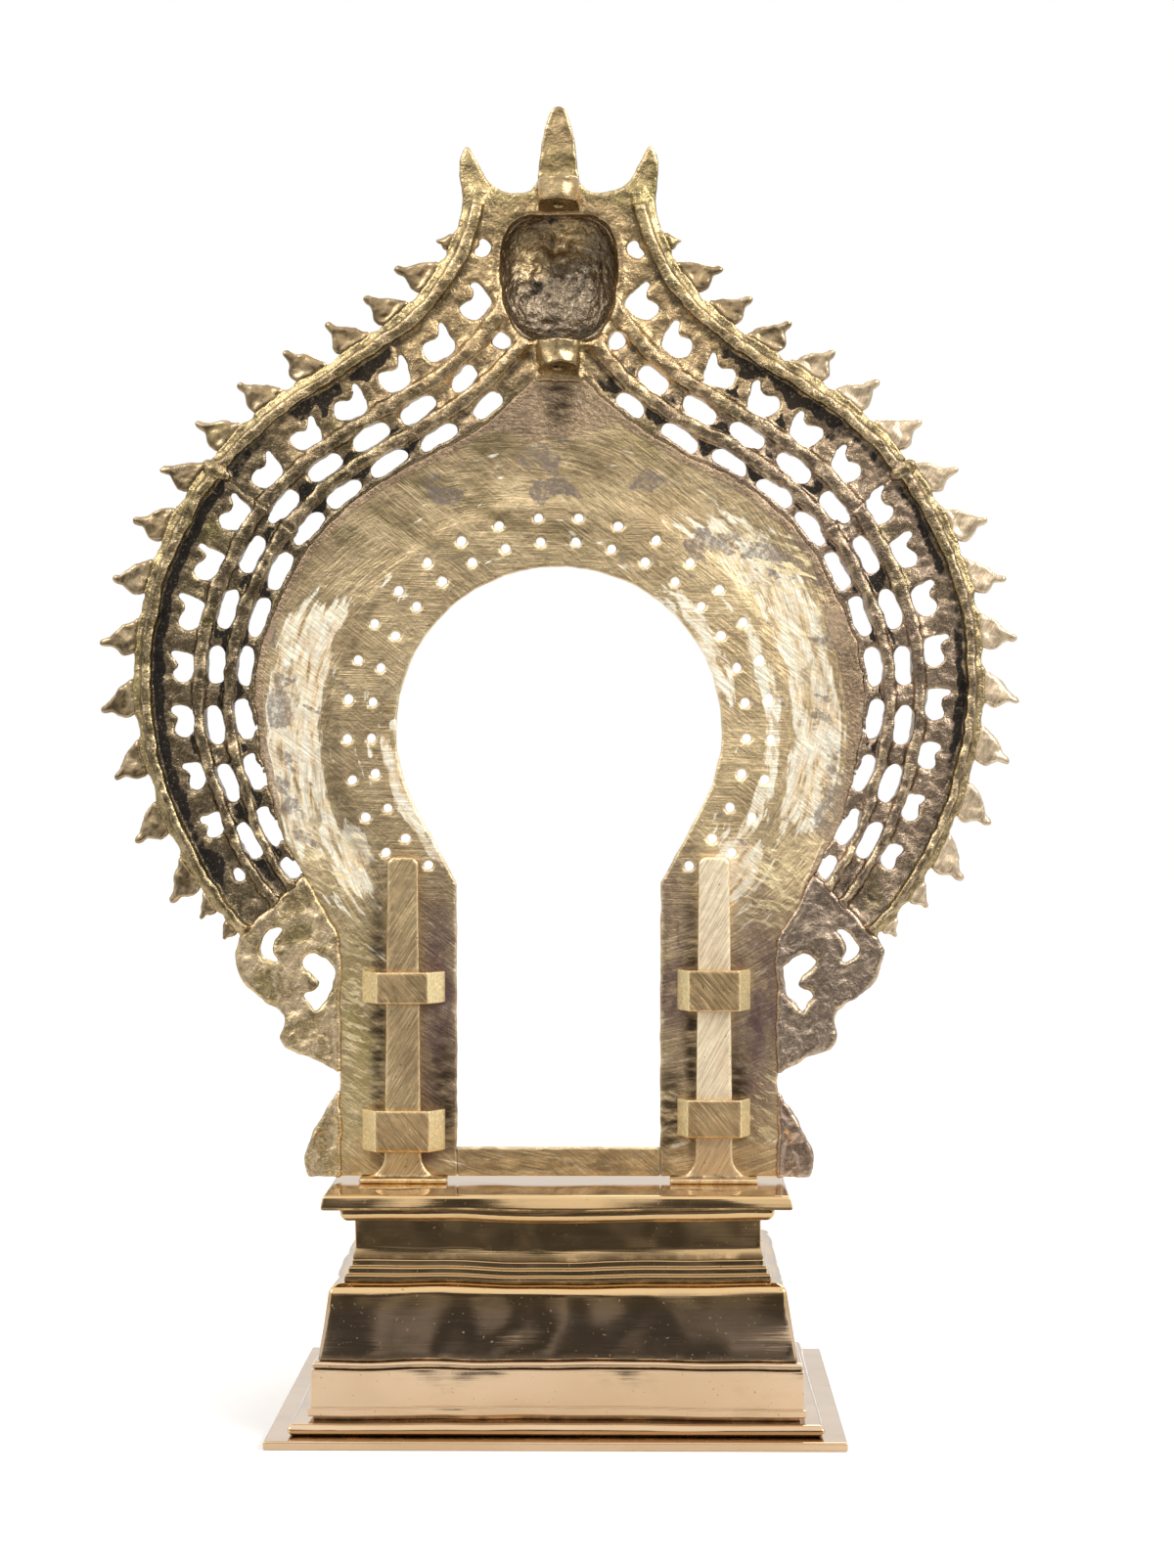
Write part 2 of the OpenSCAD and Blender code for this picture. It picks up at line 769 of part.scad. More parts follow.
module makara() {
    down = braze * unit(out_deg(0) - 90);
    top_in = inward(0, halo_d) + down;
    top_out = inward(0, 0) + down;
    side = leg_half_w + braze;
    foot = [side, makara_foot * top_out.y];
    outline = concat(open_curve(concat([top_out], bracket(makara_points), [foot]), 3),
        [[side, leg_shoulder_h], top_in]);
    slab(-plate_t, 0.3)
        difference() {
            polygon(outline);
            polygon(closed_curve(bracket(beak_points), 2));
            polygon(closed_curve(bracket(crescent_points), 3));
        }
}

module right_makara() {
    color(cast_skin)
        on_right()
            makara();
}

module left_makara() {
    color(cast_skin)
        on_left()
            makara();
}

module foot_leaf() {
    side = leg_half_w + braze;
    top = [side, leaf_top * inward(0, 0).y];
    slab(-plate_t, 0.6)
        polygon(concat([[side, 0]], open_curve(concat([top], bracket(leaf_points)), 3)));
}

module right_foot_leaf() {
    color(cast_skin)
        on_right()
            foot_leaf();
}

module left_foot_leaf() {
    color(cast_skin)
        on_left()
            foot_leaf();
}

// Crest pieces

// Hollow lion face: a domed shell with brows, eyes, a nose and a jaw
module face_form(grow) {
    hull() {
        slab(-plate_t - braze - 2, -plate_t - braze)
            boss_outline(grow);
        slab(-plate_t - boss_deep * 0.75 - grow, -plate_t - boss_deep * 0.7 - grow)
            boss_outline(grow - 7);
        slab(-plate_t - boss_deep - grow, -plate_t - boss_deep * 0.9 - grow)
            boss_outline(grow - 14);
    }
}

module face_boss() {
    eye_r = 5.5;
    nose_r = 6;
    front = arch_y + plate_t + boss_deep;
    color(cast_skin)
        difference() {
            union() {
                face_form(boss_wall);
                for (x = [-10, 10])
                    translate([x, front, arch_z + boss_h + 7])
                        sphere(eye_r);
                translate([0, front + 1, arch_z + boss_h - 4])
                    sphere(nose_r);
            }
            face_form(0);
            slab(-plate_t - braze, 10)
                boss_outline(20);
        }
}

module centre_finial() {
    side = [[finial_half_w, 0], [0.84 * finial_half_w, 0.5 * finial_h], [0.5 * finial_half_w, 0.85 * finial_h],
        [0.28 * finial_half_w, 0.98 * finial_h], [0, finial_h]];
    right = open_curve(side, 4);
    color(cast_skin)
        slab(-plate_t, 0)
            translate([0, finial_seat_h + braze])
                polygon(concat(right, flipped(right)));
}

// Half-round lug with the stem bore and an underside that rises rearward
module lug(foot_h) {
    rise = 3.5;
    reach = stem_out + lug_half_w;
    translate([0, arch_y, arch_z + foot_h])
        difference() {
            linear_extrude(lug_h)
                difference() {
                    union() {
                        translate([-lug_half_w, -stem_out])
                            square([2 * lug_half_w, stem_out]);
                        translate([0, -stem_out])
                            circle(lug_half_w);
                    }
                    translate([-reach, 0])
                        square(2 * reach);
                }
            translate([0, -stem_out, -1])
                cylinder(d = stem_d, h = lug_h + 2);
            translate([-lug_half_w - 1, 0, 0])
                rotate([-atan2(rise, reach), 0, 0])
                    translate([0, -2 * reach, -lug_h])
                        cube([2 * lug_half_w + 2, 2 * reach, lug_h]);
        }
}

module upper_lug() {
    color(cast_skin)
        lug(upper_lug_h);
}

module lower_lug() {
    color(cast_skin)
        lug(lower_lug_h);
}

// Keepers: bevelled straps that hold the arch to the tangs

function tang_w(h) = tang_foot_w + (tang_top_w - tang_foot_w) * (h - flare_r) / (tang_h - flare_r);

module keeper(middle_h, length, half_w) {
    foot_h = middle_h - length / 2;
    slot = max(tang_w(foot_h), tang_w(middle_h)) / 2 + slip;
    slot_deep = slip + tang_t + slip;
    face = slot + strap_t;
    side = [[half_w, 0], [face, -keeper_deep]];
    inside = [[slot, -slot_deep], [slot, 0]];
    right = concat(inside, side);
    translate([tang_x, arch_y, arch_z + foot_h])
        linear_extrude(length)
            polygon(concat(right, flipped(right)));
}

module right_upper_keeper() {
    color(filed)
        on_right()
            keeper(right_upper_h, right_upper_l, right_keeper_half_w);
}

module left_upper_keeper() {
    color(filed)
        on_left()
            keeper(left_upper_h, left_upper_l, left_keeper_half_w);
}

module right_lower_keeper() {
    color(filed)
        on_right()
            keeper(right_lower_h, right_lower_l, right_keeper_half_w);
}

module left_lower_keeper() {
    color(filed)
        on_left()
            keeper(left_lower_h, left_lower_l, left_keeper_half_w);
}

foot_plate();
foot_moulding();
plinth_band();
plinth_roll();
sloping_band();
step_fillets();
neck_band();
cornice();
deck_plate();
left_tang();
right_tang();
halo_plate();
sill_bar();
left_frame();
right_frame();
crest_frame();
left_flames();
right_flames();
left_makara();
right_makara();
left_foot_leaf();
right_foot_leaf();
face_boss();
centre_finial();
upper_lug();
lower_lug();
left_upper_keeper();
right_upper_keeper();
left_lower_keeper();
right_lower_keeper();
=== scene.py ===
# %% [markdown]
# # A brass prabhavali, seen from behind
# A prabhavali is the arch of flames that stands behind a temple image. This one is cast and filed brass:
# an openwork arch slips over two flat tangs on a stepped pedestal. The photograph shows the plain rear.
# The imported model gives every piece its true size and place. This lesson gives the pieces their worn,
# hand-made skins, so the first step is to load that model and note its box.

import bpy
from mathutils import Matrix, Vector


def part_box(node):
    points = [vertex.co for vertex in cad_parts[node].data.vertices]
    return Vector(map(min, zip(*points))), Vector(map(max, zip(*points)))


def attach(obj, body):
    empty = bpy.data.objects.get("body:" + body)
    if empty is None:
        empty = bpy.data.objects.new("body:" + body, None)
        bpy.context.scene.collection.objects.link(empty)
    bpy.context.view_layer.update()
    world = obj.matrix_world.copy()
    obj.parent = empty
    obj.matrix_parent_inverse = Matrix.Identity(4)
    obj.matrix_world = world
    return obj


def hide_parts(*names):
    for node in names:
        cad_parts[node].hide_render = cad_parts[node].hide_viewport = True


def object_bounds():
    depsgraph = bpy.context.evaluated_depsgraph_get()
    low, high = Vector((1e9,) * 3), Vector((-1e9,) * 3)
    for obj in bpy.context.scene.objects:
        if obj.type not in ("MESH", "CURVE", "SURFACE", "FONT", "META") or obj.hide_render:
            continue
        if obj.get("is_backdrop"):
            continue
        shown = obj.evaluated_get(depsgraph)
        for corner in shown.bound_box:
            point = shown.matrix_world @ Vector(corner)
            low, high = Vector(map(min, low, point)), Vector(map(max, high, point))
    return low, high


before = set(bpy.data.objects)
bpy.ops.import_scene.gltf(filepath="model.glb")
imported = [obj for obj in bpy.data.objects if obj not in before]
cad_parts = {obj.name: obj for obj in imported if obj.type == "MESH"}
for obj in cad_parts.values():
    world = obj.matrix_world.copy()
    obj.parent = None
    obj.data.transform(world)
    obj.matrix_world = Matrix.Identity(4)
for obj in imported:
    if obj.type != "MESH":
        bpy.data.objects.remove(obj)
cad_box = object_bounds()
print("pieces in the frame:", len(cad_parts), "box:", [tuple(round(v, 4) for v in c) for c in cad_box])

# %% [markdown]
# ## The camera
# The photograph was taken from 1.4 m behind the arch, a little to the right and at half height. Lines
# that run straight back all meet at one pixel, which gives the aim without any trial: the pixel's offset
# from the middle of the picture, over the focal length in pixels, is the tangent of the turn.

# %% Camera
import math

import bpy
from mathutils import Vector

PHOTO_WIDTH, PHOTO_HEIGHT = 1200, 1603
FOCAL_PX = 3500
MEETING_PX = (650, 750)
EYE = Vector((0.0316, -1.438, 0.2808))
SENSOR_MM = 36


def add_object(name, data):
    thing = bpy.data.objects.new(name, data)
    bpy.context.scene.collection.objects.link(thing)
    return thing


camera = add_object("photo_camera", bpy.data.cameras.new("photo_camera"))
camera.data.sensor_width = SENSOR_MM
camera.data.lens = SENSOR_MM * FOCAL_PX / PHOTO_HEIGHT
aim_down = math.atan((PHOTO_HEIGHT / 2 - MEETING_PX[1]) / FOCAL_PX)
aim_left = math.atan((MEETING_PX[0] - PHOTO_WIDTH / 2) / FOCAL_PX)
camera.location = EYE
camera.rotation_euler = (math.radians(90) - aim_down, 0, aim_left)
bpy.context.scene.camera = camera
print("lens", round(camera.data.lens, 2), "mm")

# %% [markdown]
# ## A small bench for finishes
# A brass surface is never one colour: it carries file marks, pits, soot and bright worn edges. Such a
# finish could be painted on an image, but an image has one resolution and one object. Nodes that work
# in the object's own millimetres fit every piece, so this bench gives each kind of node a short name.

# %% Finish bench
MM = 0.001
SEED_STEP = (0.37, 0.73, 0.19)


class Finish:
    """The nodes of one material. Each call adds a node and returns the socket that leaves it."""

    def __init__(self, name):
        self.material = bpy.data.materials.new(name)
        self.material.use_nodes = True
        self.tree = self.material.node_tree
        self.shader = self.tree.nodes["Principled BSDF"]
        coordinates = self.tree.nodes.new("ShaderNodeTexCoord").outputs
        self.place = coordinates["Object"]
        self.x, self.y, self.z = self.axes(self.place)
        self.across, self.facing = self.axes(coordinates["Normal"])[:2]

    def feed(self, socket, value):
        if isinstance(value, bpy.types.NodeSocket):
            self.tree.links.new(value, socket)
        else:
            socket.default_value = value

    def node(self, kind, inputs, out=0, **settings):
        made = self.tree.nodes.new(kind)
        for key, value in settings.items():
            setattr(made, key, value)
        for key, value in inputs.items():
            self.feed(made.inputs[key], value)
        return made.outputs[out]

    def axes(self, vector):
        """The three parts of a vector."""
        split = self.tree.nodes.new("ShaderNodeSeparateXYZ")
        self.feed(split.inputs[0], vector)
        return split.outputs[:]

    def rays(self):
        """One socket for rays to the eye, from mirrors and through glass, and one for mirrors alone."""
        ray = self.tree.nodes.new("ShaderNodeLightPath").outputs
        seen = self.add(self.add(ray["Is Camera Ray"], ray["Is Glossy Ray"]), ray["Is Transmission Ray"])
        return seen, ray["Is Glossy Ray"]

    def lumps(self, size, detail=3, stretch=(1, 1, 1), turn=0, seed=0, place=None):
        """Noise with lumps of about that size in millimetres, drawn out along the axes and turned."""
        spot = self.node("ShaderNodeMapping", {
            "Vector": place or self.place, "Location": tuple(seed * s for s in SEED_STEP),
            "Rotation": (0, turn, 0), "Scale": tuple(size * MM * s for s in stretch)}, vector_type="TEXTURE")
        return self.node("ShaderNodeTexNoise",
            {"Vector": spot, "Scale": 1.0, "Detail": detail, "Roughness": 0.6})

    def patches(self, low, high, *lumps, **more_lumps):
        """Lumps cut into patches: zero on the low side, one on the high side."""
        return self.step(self.lumps(*lumps, **more_lumps), low, high)

    def round_place(self, z, arm):
        """The place as it looks to someone who files round a centre: out from it, and along the arc."""
        up = self.sums("SUBTRACT", self.z, z)
        out = self.sums("SQRT", self.add(self.both(self.x, self.x), self.both(up, up)))
        along = self.both(self.sums("ARCTAN2", up, self.x), arm)
        return self.node("ShaderNodeCombineXYZ", {0: out, 1: self.y, 2: along})

    def sums(self, operation, a, b=0.0):
        return self.node("ShaderNodeMath", {0: a, 1: b}, operation=operation)

    def add(self, a, b):
        return self.sums("ADD", a, b)

    def both(self, a, b):
        return self.sums("MULTIPLY", a, b)

    def step(self, value, low, high):
        return self.node("ShaderNodeMapRange", {"Value": value, "From Min": low, "From Max": high},
            interpolation_type="SMOOTHSTEP")

    def level(self, amount, low, high):
        return self.node("ShaderNodeMapRange", {"Value": amount, "To Min": low, "To Max": high})

    def shade(self, colour, amount):
        """Darken or brighten a colour: one leaves it as it is."""
        return self.node("ShaderNodeVectorMath", {0: colour, "Scale": amount}, operation="SCALE")

    def relight(self, colour, value, low, high, light_low, light_high):
        """Shade a colour by a value, from one light to another."""
        return self.shade(colour, self.level(self.step(value, low, high), light_low, light_high))

    def paint(self, amount, under, over):
        return self.node("ShaderNodeMix", {0: amount, 6: under, 7: over}, 2, data_type="RGBA")

    def mottle(self, amount, under, over):
        """Two screen tones, mixed by the amount."""
        return self.paint(amount, tone(*under), tone(*over))

    def coat(self, colour, amount, over, share=1.0):
        """A screen tone laid over a colour, by a share of the amount."""
        return self.paint(self.both(amount, share), colour, tone(*over))

    def mark(self, name):
        """A value that the mesh carries at each of its points."""
        return self.node("ShaderNodeAttribute", {}, 2, attribute_name=name)

    def relief(self, low, high):
        """Hollows where the values rise from a half, edges where they fall from it."""
        return self.step(self.mark("relief"), low, high)

    def bump(self, height, depth, under=None):
        over = {"Normal": under} if under else {}
        return self.node("ShaderNodeBump", {"Height": height, "Distance": depth, "Strength": 1.0} | over)

    def wear(self, colour, roughness, metal, **more):
        """Set the inputs of the shader; an underscore stands for a space in the name of an input."""
        inputs = {"Base Color": colour, "Roughness": roughness, "Metallic": metal}
        for name, value in (inputs | more).items():
            self.feed(self.shader.inputs[name.replace("_", " ")], value)
        return self.material


def tone(red, green, blue):
    """A colour as a screen shows it, 0 to 255, as the linear light that nodes work in."""
    screen = (red / 255, green / 255, blue / 255)
    return (*(v / 12.92 if v <= 0.04045 else ((v + 0.055) / 1.055) ** 2.4 for v in screen), 1.0)


print("pale brass on the screen (214, 180, 142) is", tuple(round(v, 3) for v in tone(214, 180, 142)))

# %% [markdown]
# ## Floor, room and light
# Polished brass shows the room more than itself. The object stands on white paper in soft light, and the
# dark room behind the camera makes the brown bands on the pedestal. The paper ends just below the
# picture, so the upper courses mirror the room and the lowest ones mirror the paper. A dark card that
# only reflections can see stands in for the room. Far from the object the paper only has to look white,
# so there its own glow takes over from the lamps and no horizon shows.

# %% Floor and room
import bmesh

PAPER_EDGE = -0.31
PAPER_REACH = 5.0
PAPER_TONES = (238, 238, 238), (243, 243, 243)
SHADOW_REACH, WHITE_REACH = 0.4, 1.3
CARD_Y = -1.56
CARD_HALF_WIDTH = 0.42
CARD_FOOT, CARD_TOP = -0.6, 0.44
ROOM_TONES = (74, 73, 73), (144, 142, 143)
BLACK, WHITE = (0.0, 0.0, 0.0, 1.0), (1.0, 1.0, 1.0, 1.0)


def flat_sheet(name, corners, finish):
    mesh = bpy.data.meshes.new(name)
    mesh.from_pydata(corners, [], [range(len(corners))])
    mesh.materials.append(finish)
    sheet = add_object(name, mesh)
    sheet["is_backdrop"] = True
    return sheet


def paper_corners(near, far):
    return [(-PAPER_REACH, near, 0), (PAPER_REACH, near, 0), (PAPER_REACH, far, 0), (-PAPER_REACH, far, 0)]


def paper_finish():
    """White paper: it takes the shadow, and shows its own white to the eye and to polished brass."""
    paper = Finish("white_paper")
    seen = paper.rays()[0]
    out = paper.sums("SQRT", paper.add(paper.both(paper.x, paper.x), paper.both(paper.y, paper.y)))
    far = paper.step(out, SHADOW_REACH, WHITE_REACH)
    colour = paper.mottle(paper.lumps(400, 2), *PAPER_TONES)
    colour = paper.paint(paper.both(far, seen), colour, BLACK)
    glow = paper.both(seen, paper.level(far, 0.2, 1.0))
    return paper.wear(colour, 0.9, 0.0, Emission_Color=WHITE, Emission_Strength=glow)


def room_finish():
    """The dark room behind the camera, with a few paler shapes in it."""
    room = Finish("dark_room")
    shapes = room.patches(0.42, 0.7, 110, 3, (1, 1, 2.2))
    glow = room.node("ShaderNodeEmission", {"Color": room.mottle(shapes, *ROOM_TONES)})
    room.feed(room.tree.nodes["Material Output"].inputs["Surface"], glow)
    return room.material


white_paper = paper_finish()
flat_sheet("floor", paper_corners(PAPER_EDGE, PAPER_REACH), white_paper)
near_floor = flat_sheet("near_floor", paper_corners(-PAPER_REACH, PAPER_EDGE), white_paper)
near_floor.visible_glossy = False
card = flat_sheet("dark_card", [(-CARD_HALF_WIDTH, CARD_Y, CARD_FOOT), (CARD_HALF_WIDTH, CARD_Y, CARD_FOOT),
    (CARD_HALF_WIDTH, CARD_Y, CARD_TOP), (-CARD_HALF_WIDTH, CARD_Y, CARD_TOP)], room_finish())
card.visible_camera = card.visible_diffuse = card.visible_shadow = card.visible_transmission = False
print("paper ends", abs(PAPER_EDGE), "m behind the middle of the pedestal")

# %% [markdown]
# The light all round is a bench of its own. To the eye it is plain white. To metal it is brighter overhead
# and dim near the floor, as in a real studio: without that difference every dent in the brass would mirror
# the same white, and cast metal would look like chalk.

# %% World and lamps
SKY_DIM, SKY_BRIGHT = 0.42, 1.4
SKY_ON_THINGS = 0.62


class Sky(Finish):
    """The same bench for the light that comes from all round."""

    def __init__(self, name):
        self.world = bpy.data.worlds.new(name)
        self.world.use_nodes = True
        self.tree = self.world.node_tree
        self.x, self.y, self.z = self.axes(self.node("ShaderNodeTexCoord", {}))


bpy.context.scene.view_settings.view_transform = "Standard"
sky = Sky("soft_room")
bpy.context.scene.world = sky.world
seen, in_mirror = sky.rays()
mirrored = sky.level(sky.step(sky.z, -0.3, 0.6), SKY_DIM, SKY_BRIGHT)
strength = sky.node("ShaderNodeMix", {0: in_mirror, 2: sky.level(seen, SKY_ON_THINGS, 1.0), 3: mirrored})
sky.feed(sky.tree.nodes["Background"].inputs["Strength"], strength)
sky.feed(sky.tree.nodes["Background"].inputs["Color"], WHITE)


def soft_lamp(name, place, target, size, watts):
    lamp = add_object(name, bpy.data.lights.new(name, "AREA"))
    lamp.data.shape = "RECTANGLE"
    lamp.data.size, lamp.data.size_y = size
    lamp.data.energy = watts
    lamp.location = place
    lamp.rotation_euler = (Vector(target) - Vector(place)).to_track_quat("-Z", "Y").to_euler()


middle = (cad_box[0] + cad_box[1]) / 2
soft_lamp("over_left", (-1.0, -1.1, 1.5), middle, (0.9, 0.7), watts=11)
soft_lamp("over_right", (1.2, -0.9, 1.2), middle, (0.8, 0.8), watts=15)
soft_lamp("over_front", (0.5, 1.3, 1.5), middle, (1.0, 0.8), watts=12)

# %% [markdown]
# ## Cast brass
# The openwork was cast from wax models and never filed behind. Its skin is brown and grainy, the grooves
# hold black soot, and hands have rubbed the ridges to gold. Light and shade are painted in as well: shade in
# the hollows and grooves, highlights on the edges and on the rim's ridge, and a few glints. One even brown
# would look like plastic, so every layer is broken up by a grain of about a millimetre. Shader nodes can't
# see how deep a groove is, so each mesh brings values of its own: relief, which is high in small hollows and
# low on edges, deep, which does the same for whole grooves and ribs, soot, and ledge, which marks the rim
# from just inside its ridge outward.

# %% Cast skin
SOOT, GRIME_AND_SHADE, PATINA = (25, 22, 21), (52, 43, 34), (136, 126, 72)
STROKE_TONES = (206, 179, 145), (248, 225, 189)
RIM_TONE = (178, 157, 113)
CROWN_Z = (0.42, 0.49)


def cast_colour(cast, left, right, crown, ledge):
    """The skin before wear: a tone for each side, one for the crown and one for the ledge."""
    side = cast.add(cast.x, cast.both(cast.lumps(50, 3, seed=4), 0.08))
    colour = cast.mottle(cast.step(side, -0.06, 0.16), left, right)
    if crown:
        up = cast.add(cast.z, cast.both(cast.lumps(20, 4, seed=6), 0.08))
        colour = cast.coat(colour, cast.step(up, *CROWN_Z), crown)
    colour = cast.coat(colour, cast.mark("ledge"), ledge, 0.85)
    colour = cast.shade(colour, cast.level(cast.patches(0.34, 0.66, 16, 2, seed=1), 1.14, 0.82))
    patina = cast.patches(0.55, 0.68, 22, 5, (1, 1, 1.6), seed=3)
    return cast.coat(colour, patina, PATINA, 0.35)


def cast_filed(cast, pale):
    """Where a file touched the rear, below the crown."""
    rear = cast.step(cast.facing, -0.3, -0.85)
    filed = cast.both(rear, cast.patches(0.62 - pale * 0.4, 0.7 - pale * 0.4, 11, 4, seed=12))
    return cast.both(cast.both(filed, cast.step(cast.z, 0.45, 0.41)), pale)


def cast_wear(cast, colour, gold, coarse):
    """Gold where hands rubbed the skin, which is also a painted highlight on the edges; grime in the
    hollows, which is also painted shade; soot in the grooves; and a few painted glints.
    """
    # Gold on the edges: partly real wear, partly a painted highlight.
    worn_and_highlight = cast.both(cast.relief(0.42, 0.2), cast.patches(0.44, 0.6, 6, 5, (1, 1, 1.8), seed=5))
    colour = cast.coat(colour, worn_and_highlight, gold, 0.55)
    colour = cast.coat(colour, cast.step(cast.facing, 0.1, 0.6), gold, 0.6)
    # Grime in the small hollows: partly real dirt, partly painted shade.
    grime_and_shade = cast.both(cast.relief(0.53, 0.8), cast.patches(0.25, 0.6, 8, 4, seed=7))
    colour = cast.coat(colour, grime_and_shade, GRIME_AND_SHADE, 0.8)
    ragged = cast.both(cast.lumps(3.4, 5, seed=9), 0.9)
    soot = cast.step(cast.add(cast.mark("soot"), ragged), 0.74, 0.98)
    colour = cast.coat(colour, soot, SOOT, 0.95)
    # Painted glints: small gold sparks laid into the colour.
    painted_glint = cast.both(cast.patches(0.6, 0.68, 1.1, 2, seed=14), 0.8 * coarse)
    return cast.coat(colour, cast.both(painted_glint, cast.level(soot, 0.8, 0.25)), gold), soot, grime_and_shade


print("soot is", tuple(round(v, 4) for v in tone(*SOOT)[:3]), "in linear light")

# %% [markdown]
# The castings didn't age alike. The openwork goes from olive on the left to rosy on the right. The flames
# on the right were filed pale, and the beast and leaf there stayed dull; on the left it is the other way
# round. Separate tones are easier to correct than masks, so one function makes a finish for each kind.

# %% Cast finishes
def cast_finish(name, left, gold, coarse, pale=0.0, right=None, crown=None, ledge=RIM_TONE):
    """Cast brass. Coarse is how strong its grain is, pale how much of it was filed."""
    cast = Finish(name)
    grain = cast.lumps(1.3, 3)
    crumb = cast.lumps(4.6, 4, seed=2)
    deep = cast.mark("deep")
    colour = cast_colour(cast, left, right or left, crown, ledge)
    filed = cast_filed(cast, pale)
    strokes = cast.patches(0.35, 0.65, 0.8, 3, (1, 1, 9), 0.5, seed=8)
    colour = cast.paint(filed, colour, cast.mottle(strokes, *STROKE_TONES))
    colour = cast.relight(colour, grain, 0.34, 0.68, 1 - 0.26 * coarse, 1 + 0.28 * coarse)
    colour = cast.relight(colour, crumb, 0.36, 0.66, 1 - 0.14 * coarse, 1 + 0.12 * coarse)
    # Painted shade: whole grooves are darkened to about a third.
    colour = cast.relight(colour, deep, 0.57, 0.84, 1.0, 0.36)
    colour = cast.relight(colour, deep, 0.46, 0.28, 1.0, 0.74)
    colour, soot, grime_and_shade = cast_wear(cast, colour, gold, coarse)
    rough = cast.add(cast.level(grain, 0.4, 0.16), cast.both(soot, 0.3))
    metal = cast.level(cast.sums("MAXIMUM", soot, cast.both(grime_and_shade, 0.5)), 1.0, 0.1)
    metal = cast.both(metal, cast.level(filed, 1.0, 0.5))
    skin = cast.bump(grain, 0.0005 * coarse, cast.bump(crumb, 0.0013 * coarse))
    return cast.wear(colour, rough, metal, Normal=skin, Specular_IOR_Level=cast.level(soot, 0.5, 0.1))


FLAME_CROWN = (166, 142, 107)
openwork_brass = cast_finish("openwork_brass", (124, 108, 84), (234, 208, 164), coarse=0.6,
    right=(162, 140, 118), crown=(188, 160, 118))
horn_brass = cast_finish("horn_brass", (180, 154, 114), (232, 206, 160), coarse=0.45)
lug_brass = cast_finish("lug_brass", (186, 161, 120), (236, 212, 164), coarse=0.25)
flame_brass = cast_finish("flame_brass", (160, 138, 104), (204, 180, 142), coarse=0.16, pale=0.3,
    crown=FLAME_CROWN)
pale_flame_brass = cast_finish("pale_flame_brass", (212, 188, 156), (222, 200, 164), coarse=0.16, pale=0.8,
    crown=FLAME_CROWN)
beast_brass = cast_finish("beast_brass", (188, 164, 122), (238, 214, 160), coarse=0.55, pale=0.42)
dark_beast_brass = cast_finish("dark_beast_brass", (171, 150, 130), (224, 200, 160), coarse=0.5, pale=0.1)
dark_leaf_brass = cast_finish("dark_leaf_brass", (190, 163, 140), (224, 200, 160), coarse=0.2, pale=0.2)
hollow_brass = cast_finish("hollow_brass", (146, 129, 106), (232, 204, 152), coarse=0.9,
    right=(130, 117, 102), ledge=(214, 186, 138))
print("finishes so far:", [m.name for m in bpy.data.materials if m.name.endswith("_brass")])

# %% [markdown]
# ## Filed brass
# The halo plate was filed by hand after casting. The file left slanting lines, bright cream patches where
# it bit on the flanks, grey pits where it didn't reach, and a brown-violet bloom from the brazing heat at
# the legs. The cream on the flanks is partly a painted reflection of a lamp, and a few dark marks are partly
# painted shadow. Each stain has its own place on the plate, so the mesh carries it as a value and the nodes
# only give it a ragged edge. Round the keyhole the file followed the arc, and so does the noise there.

# %% Lines and stains
KEYHOLE_Z = 0.2824
LACING_EDGE = 0.0929
FILE_ARM = 0.1
PLATE_TONES = (220, 195, 152), (182, 158, 120)
CREAM_TONES = (240, 210, 166), (255, 246, 222)
SKIN_TONES = (176, 150, 121), (136, 115, 95)
SMEAR, BLOOM, GREEN, PIT = (142, 124, 90), (124, 100, 94), (190, 176, 100), (110, 98, 92)
BITE, RUBBED_AND_HIGHLIGHT, DIRT_AND_SHADOW = (250, 228, 178), (240, 220, 178), (72, 60, 46)


def file_lines(plate, arc):
    """Lines along the arc outside the lacing holes, level ones inside, and here and there a crossing."""
    dish = plate.step(plate.axes(arc)[0], LACING_EDGE - 0.002, LACING_EDGE + 0.003)
    slant = plate.lumps(0.8, 4, (1, 1, 15), 0.22, place=arc)
    cross = plate.lumps(0.8, 4, (1, 1, 14), -0.9, seed=2)
    level_lines = plate.lumps(0.7, 4, (20, 1, 1), 0.03, seed=3)
    lines = plate.node("ShaderNodeMix", {0: dish, 2: level_lines, 3: slant})
    return plate.node("ShaderNodeMix", {0: plate.patches(0.45, 0.6, 30, 2, seed=4), 2: lines, 3: cross})


def bright_patches(plate, colour, ragged):
    """Dull smears at the top, and cream where the file bit, which on the flanks is also a painted reflection
    of a lamp.
    """
    smear = plate.patches(0.44, 0.64, 16, 5, (1.8, 1, 0.6), 0.5, seed=8)
    upper = plate.both(plate.step(plate.z, 0.33, 0.37), smear)
    left_share = plate.level(plate.step(plate.x, 0.04, -0.03), 0.5, 0.9)
    colour = plate.coat(colour, upper, SMEAR, left_share)
    # Cream: filed metal, and on the flanks partly a painted reflection of a lamp.
    edge = plate.add(plate.mark("bright"), plate.both(plate.sums("SUBTRACT", ragged, 0.5), 3.0))
    island = plate.patches(0.64, 0.56, 8, 5, (0.7, 1, 1.5), seed=19)
    bright = plate.both(plate.step(edge, 0.4, 0.62), plate.level(island, 0.3, 1.0))
    cream = plate.mottle(plate.step(ragged, 0.36, 0.62), *CREAM_TONES)
    return plate.paint(bright, colour, cream), bright


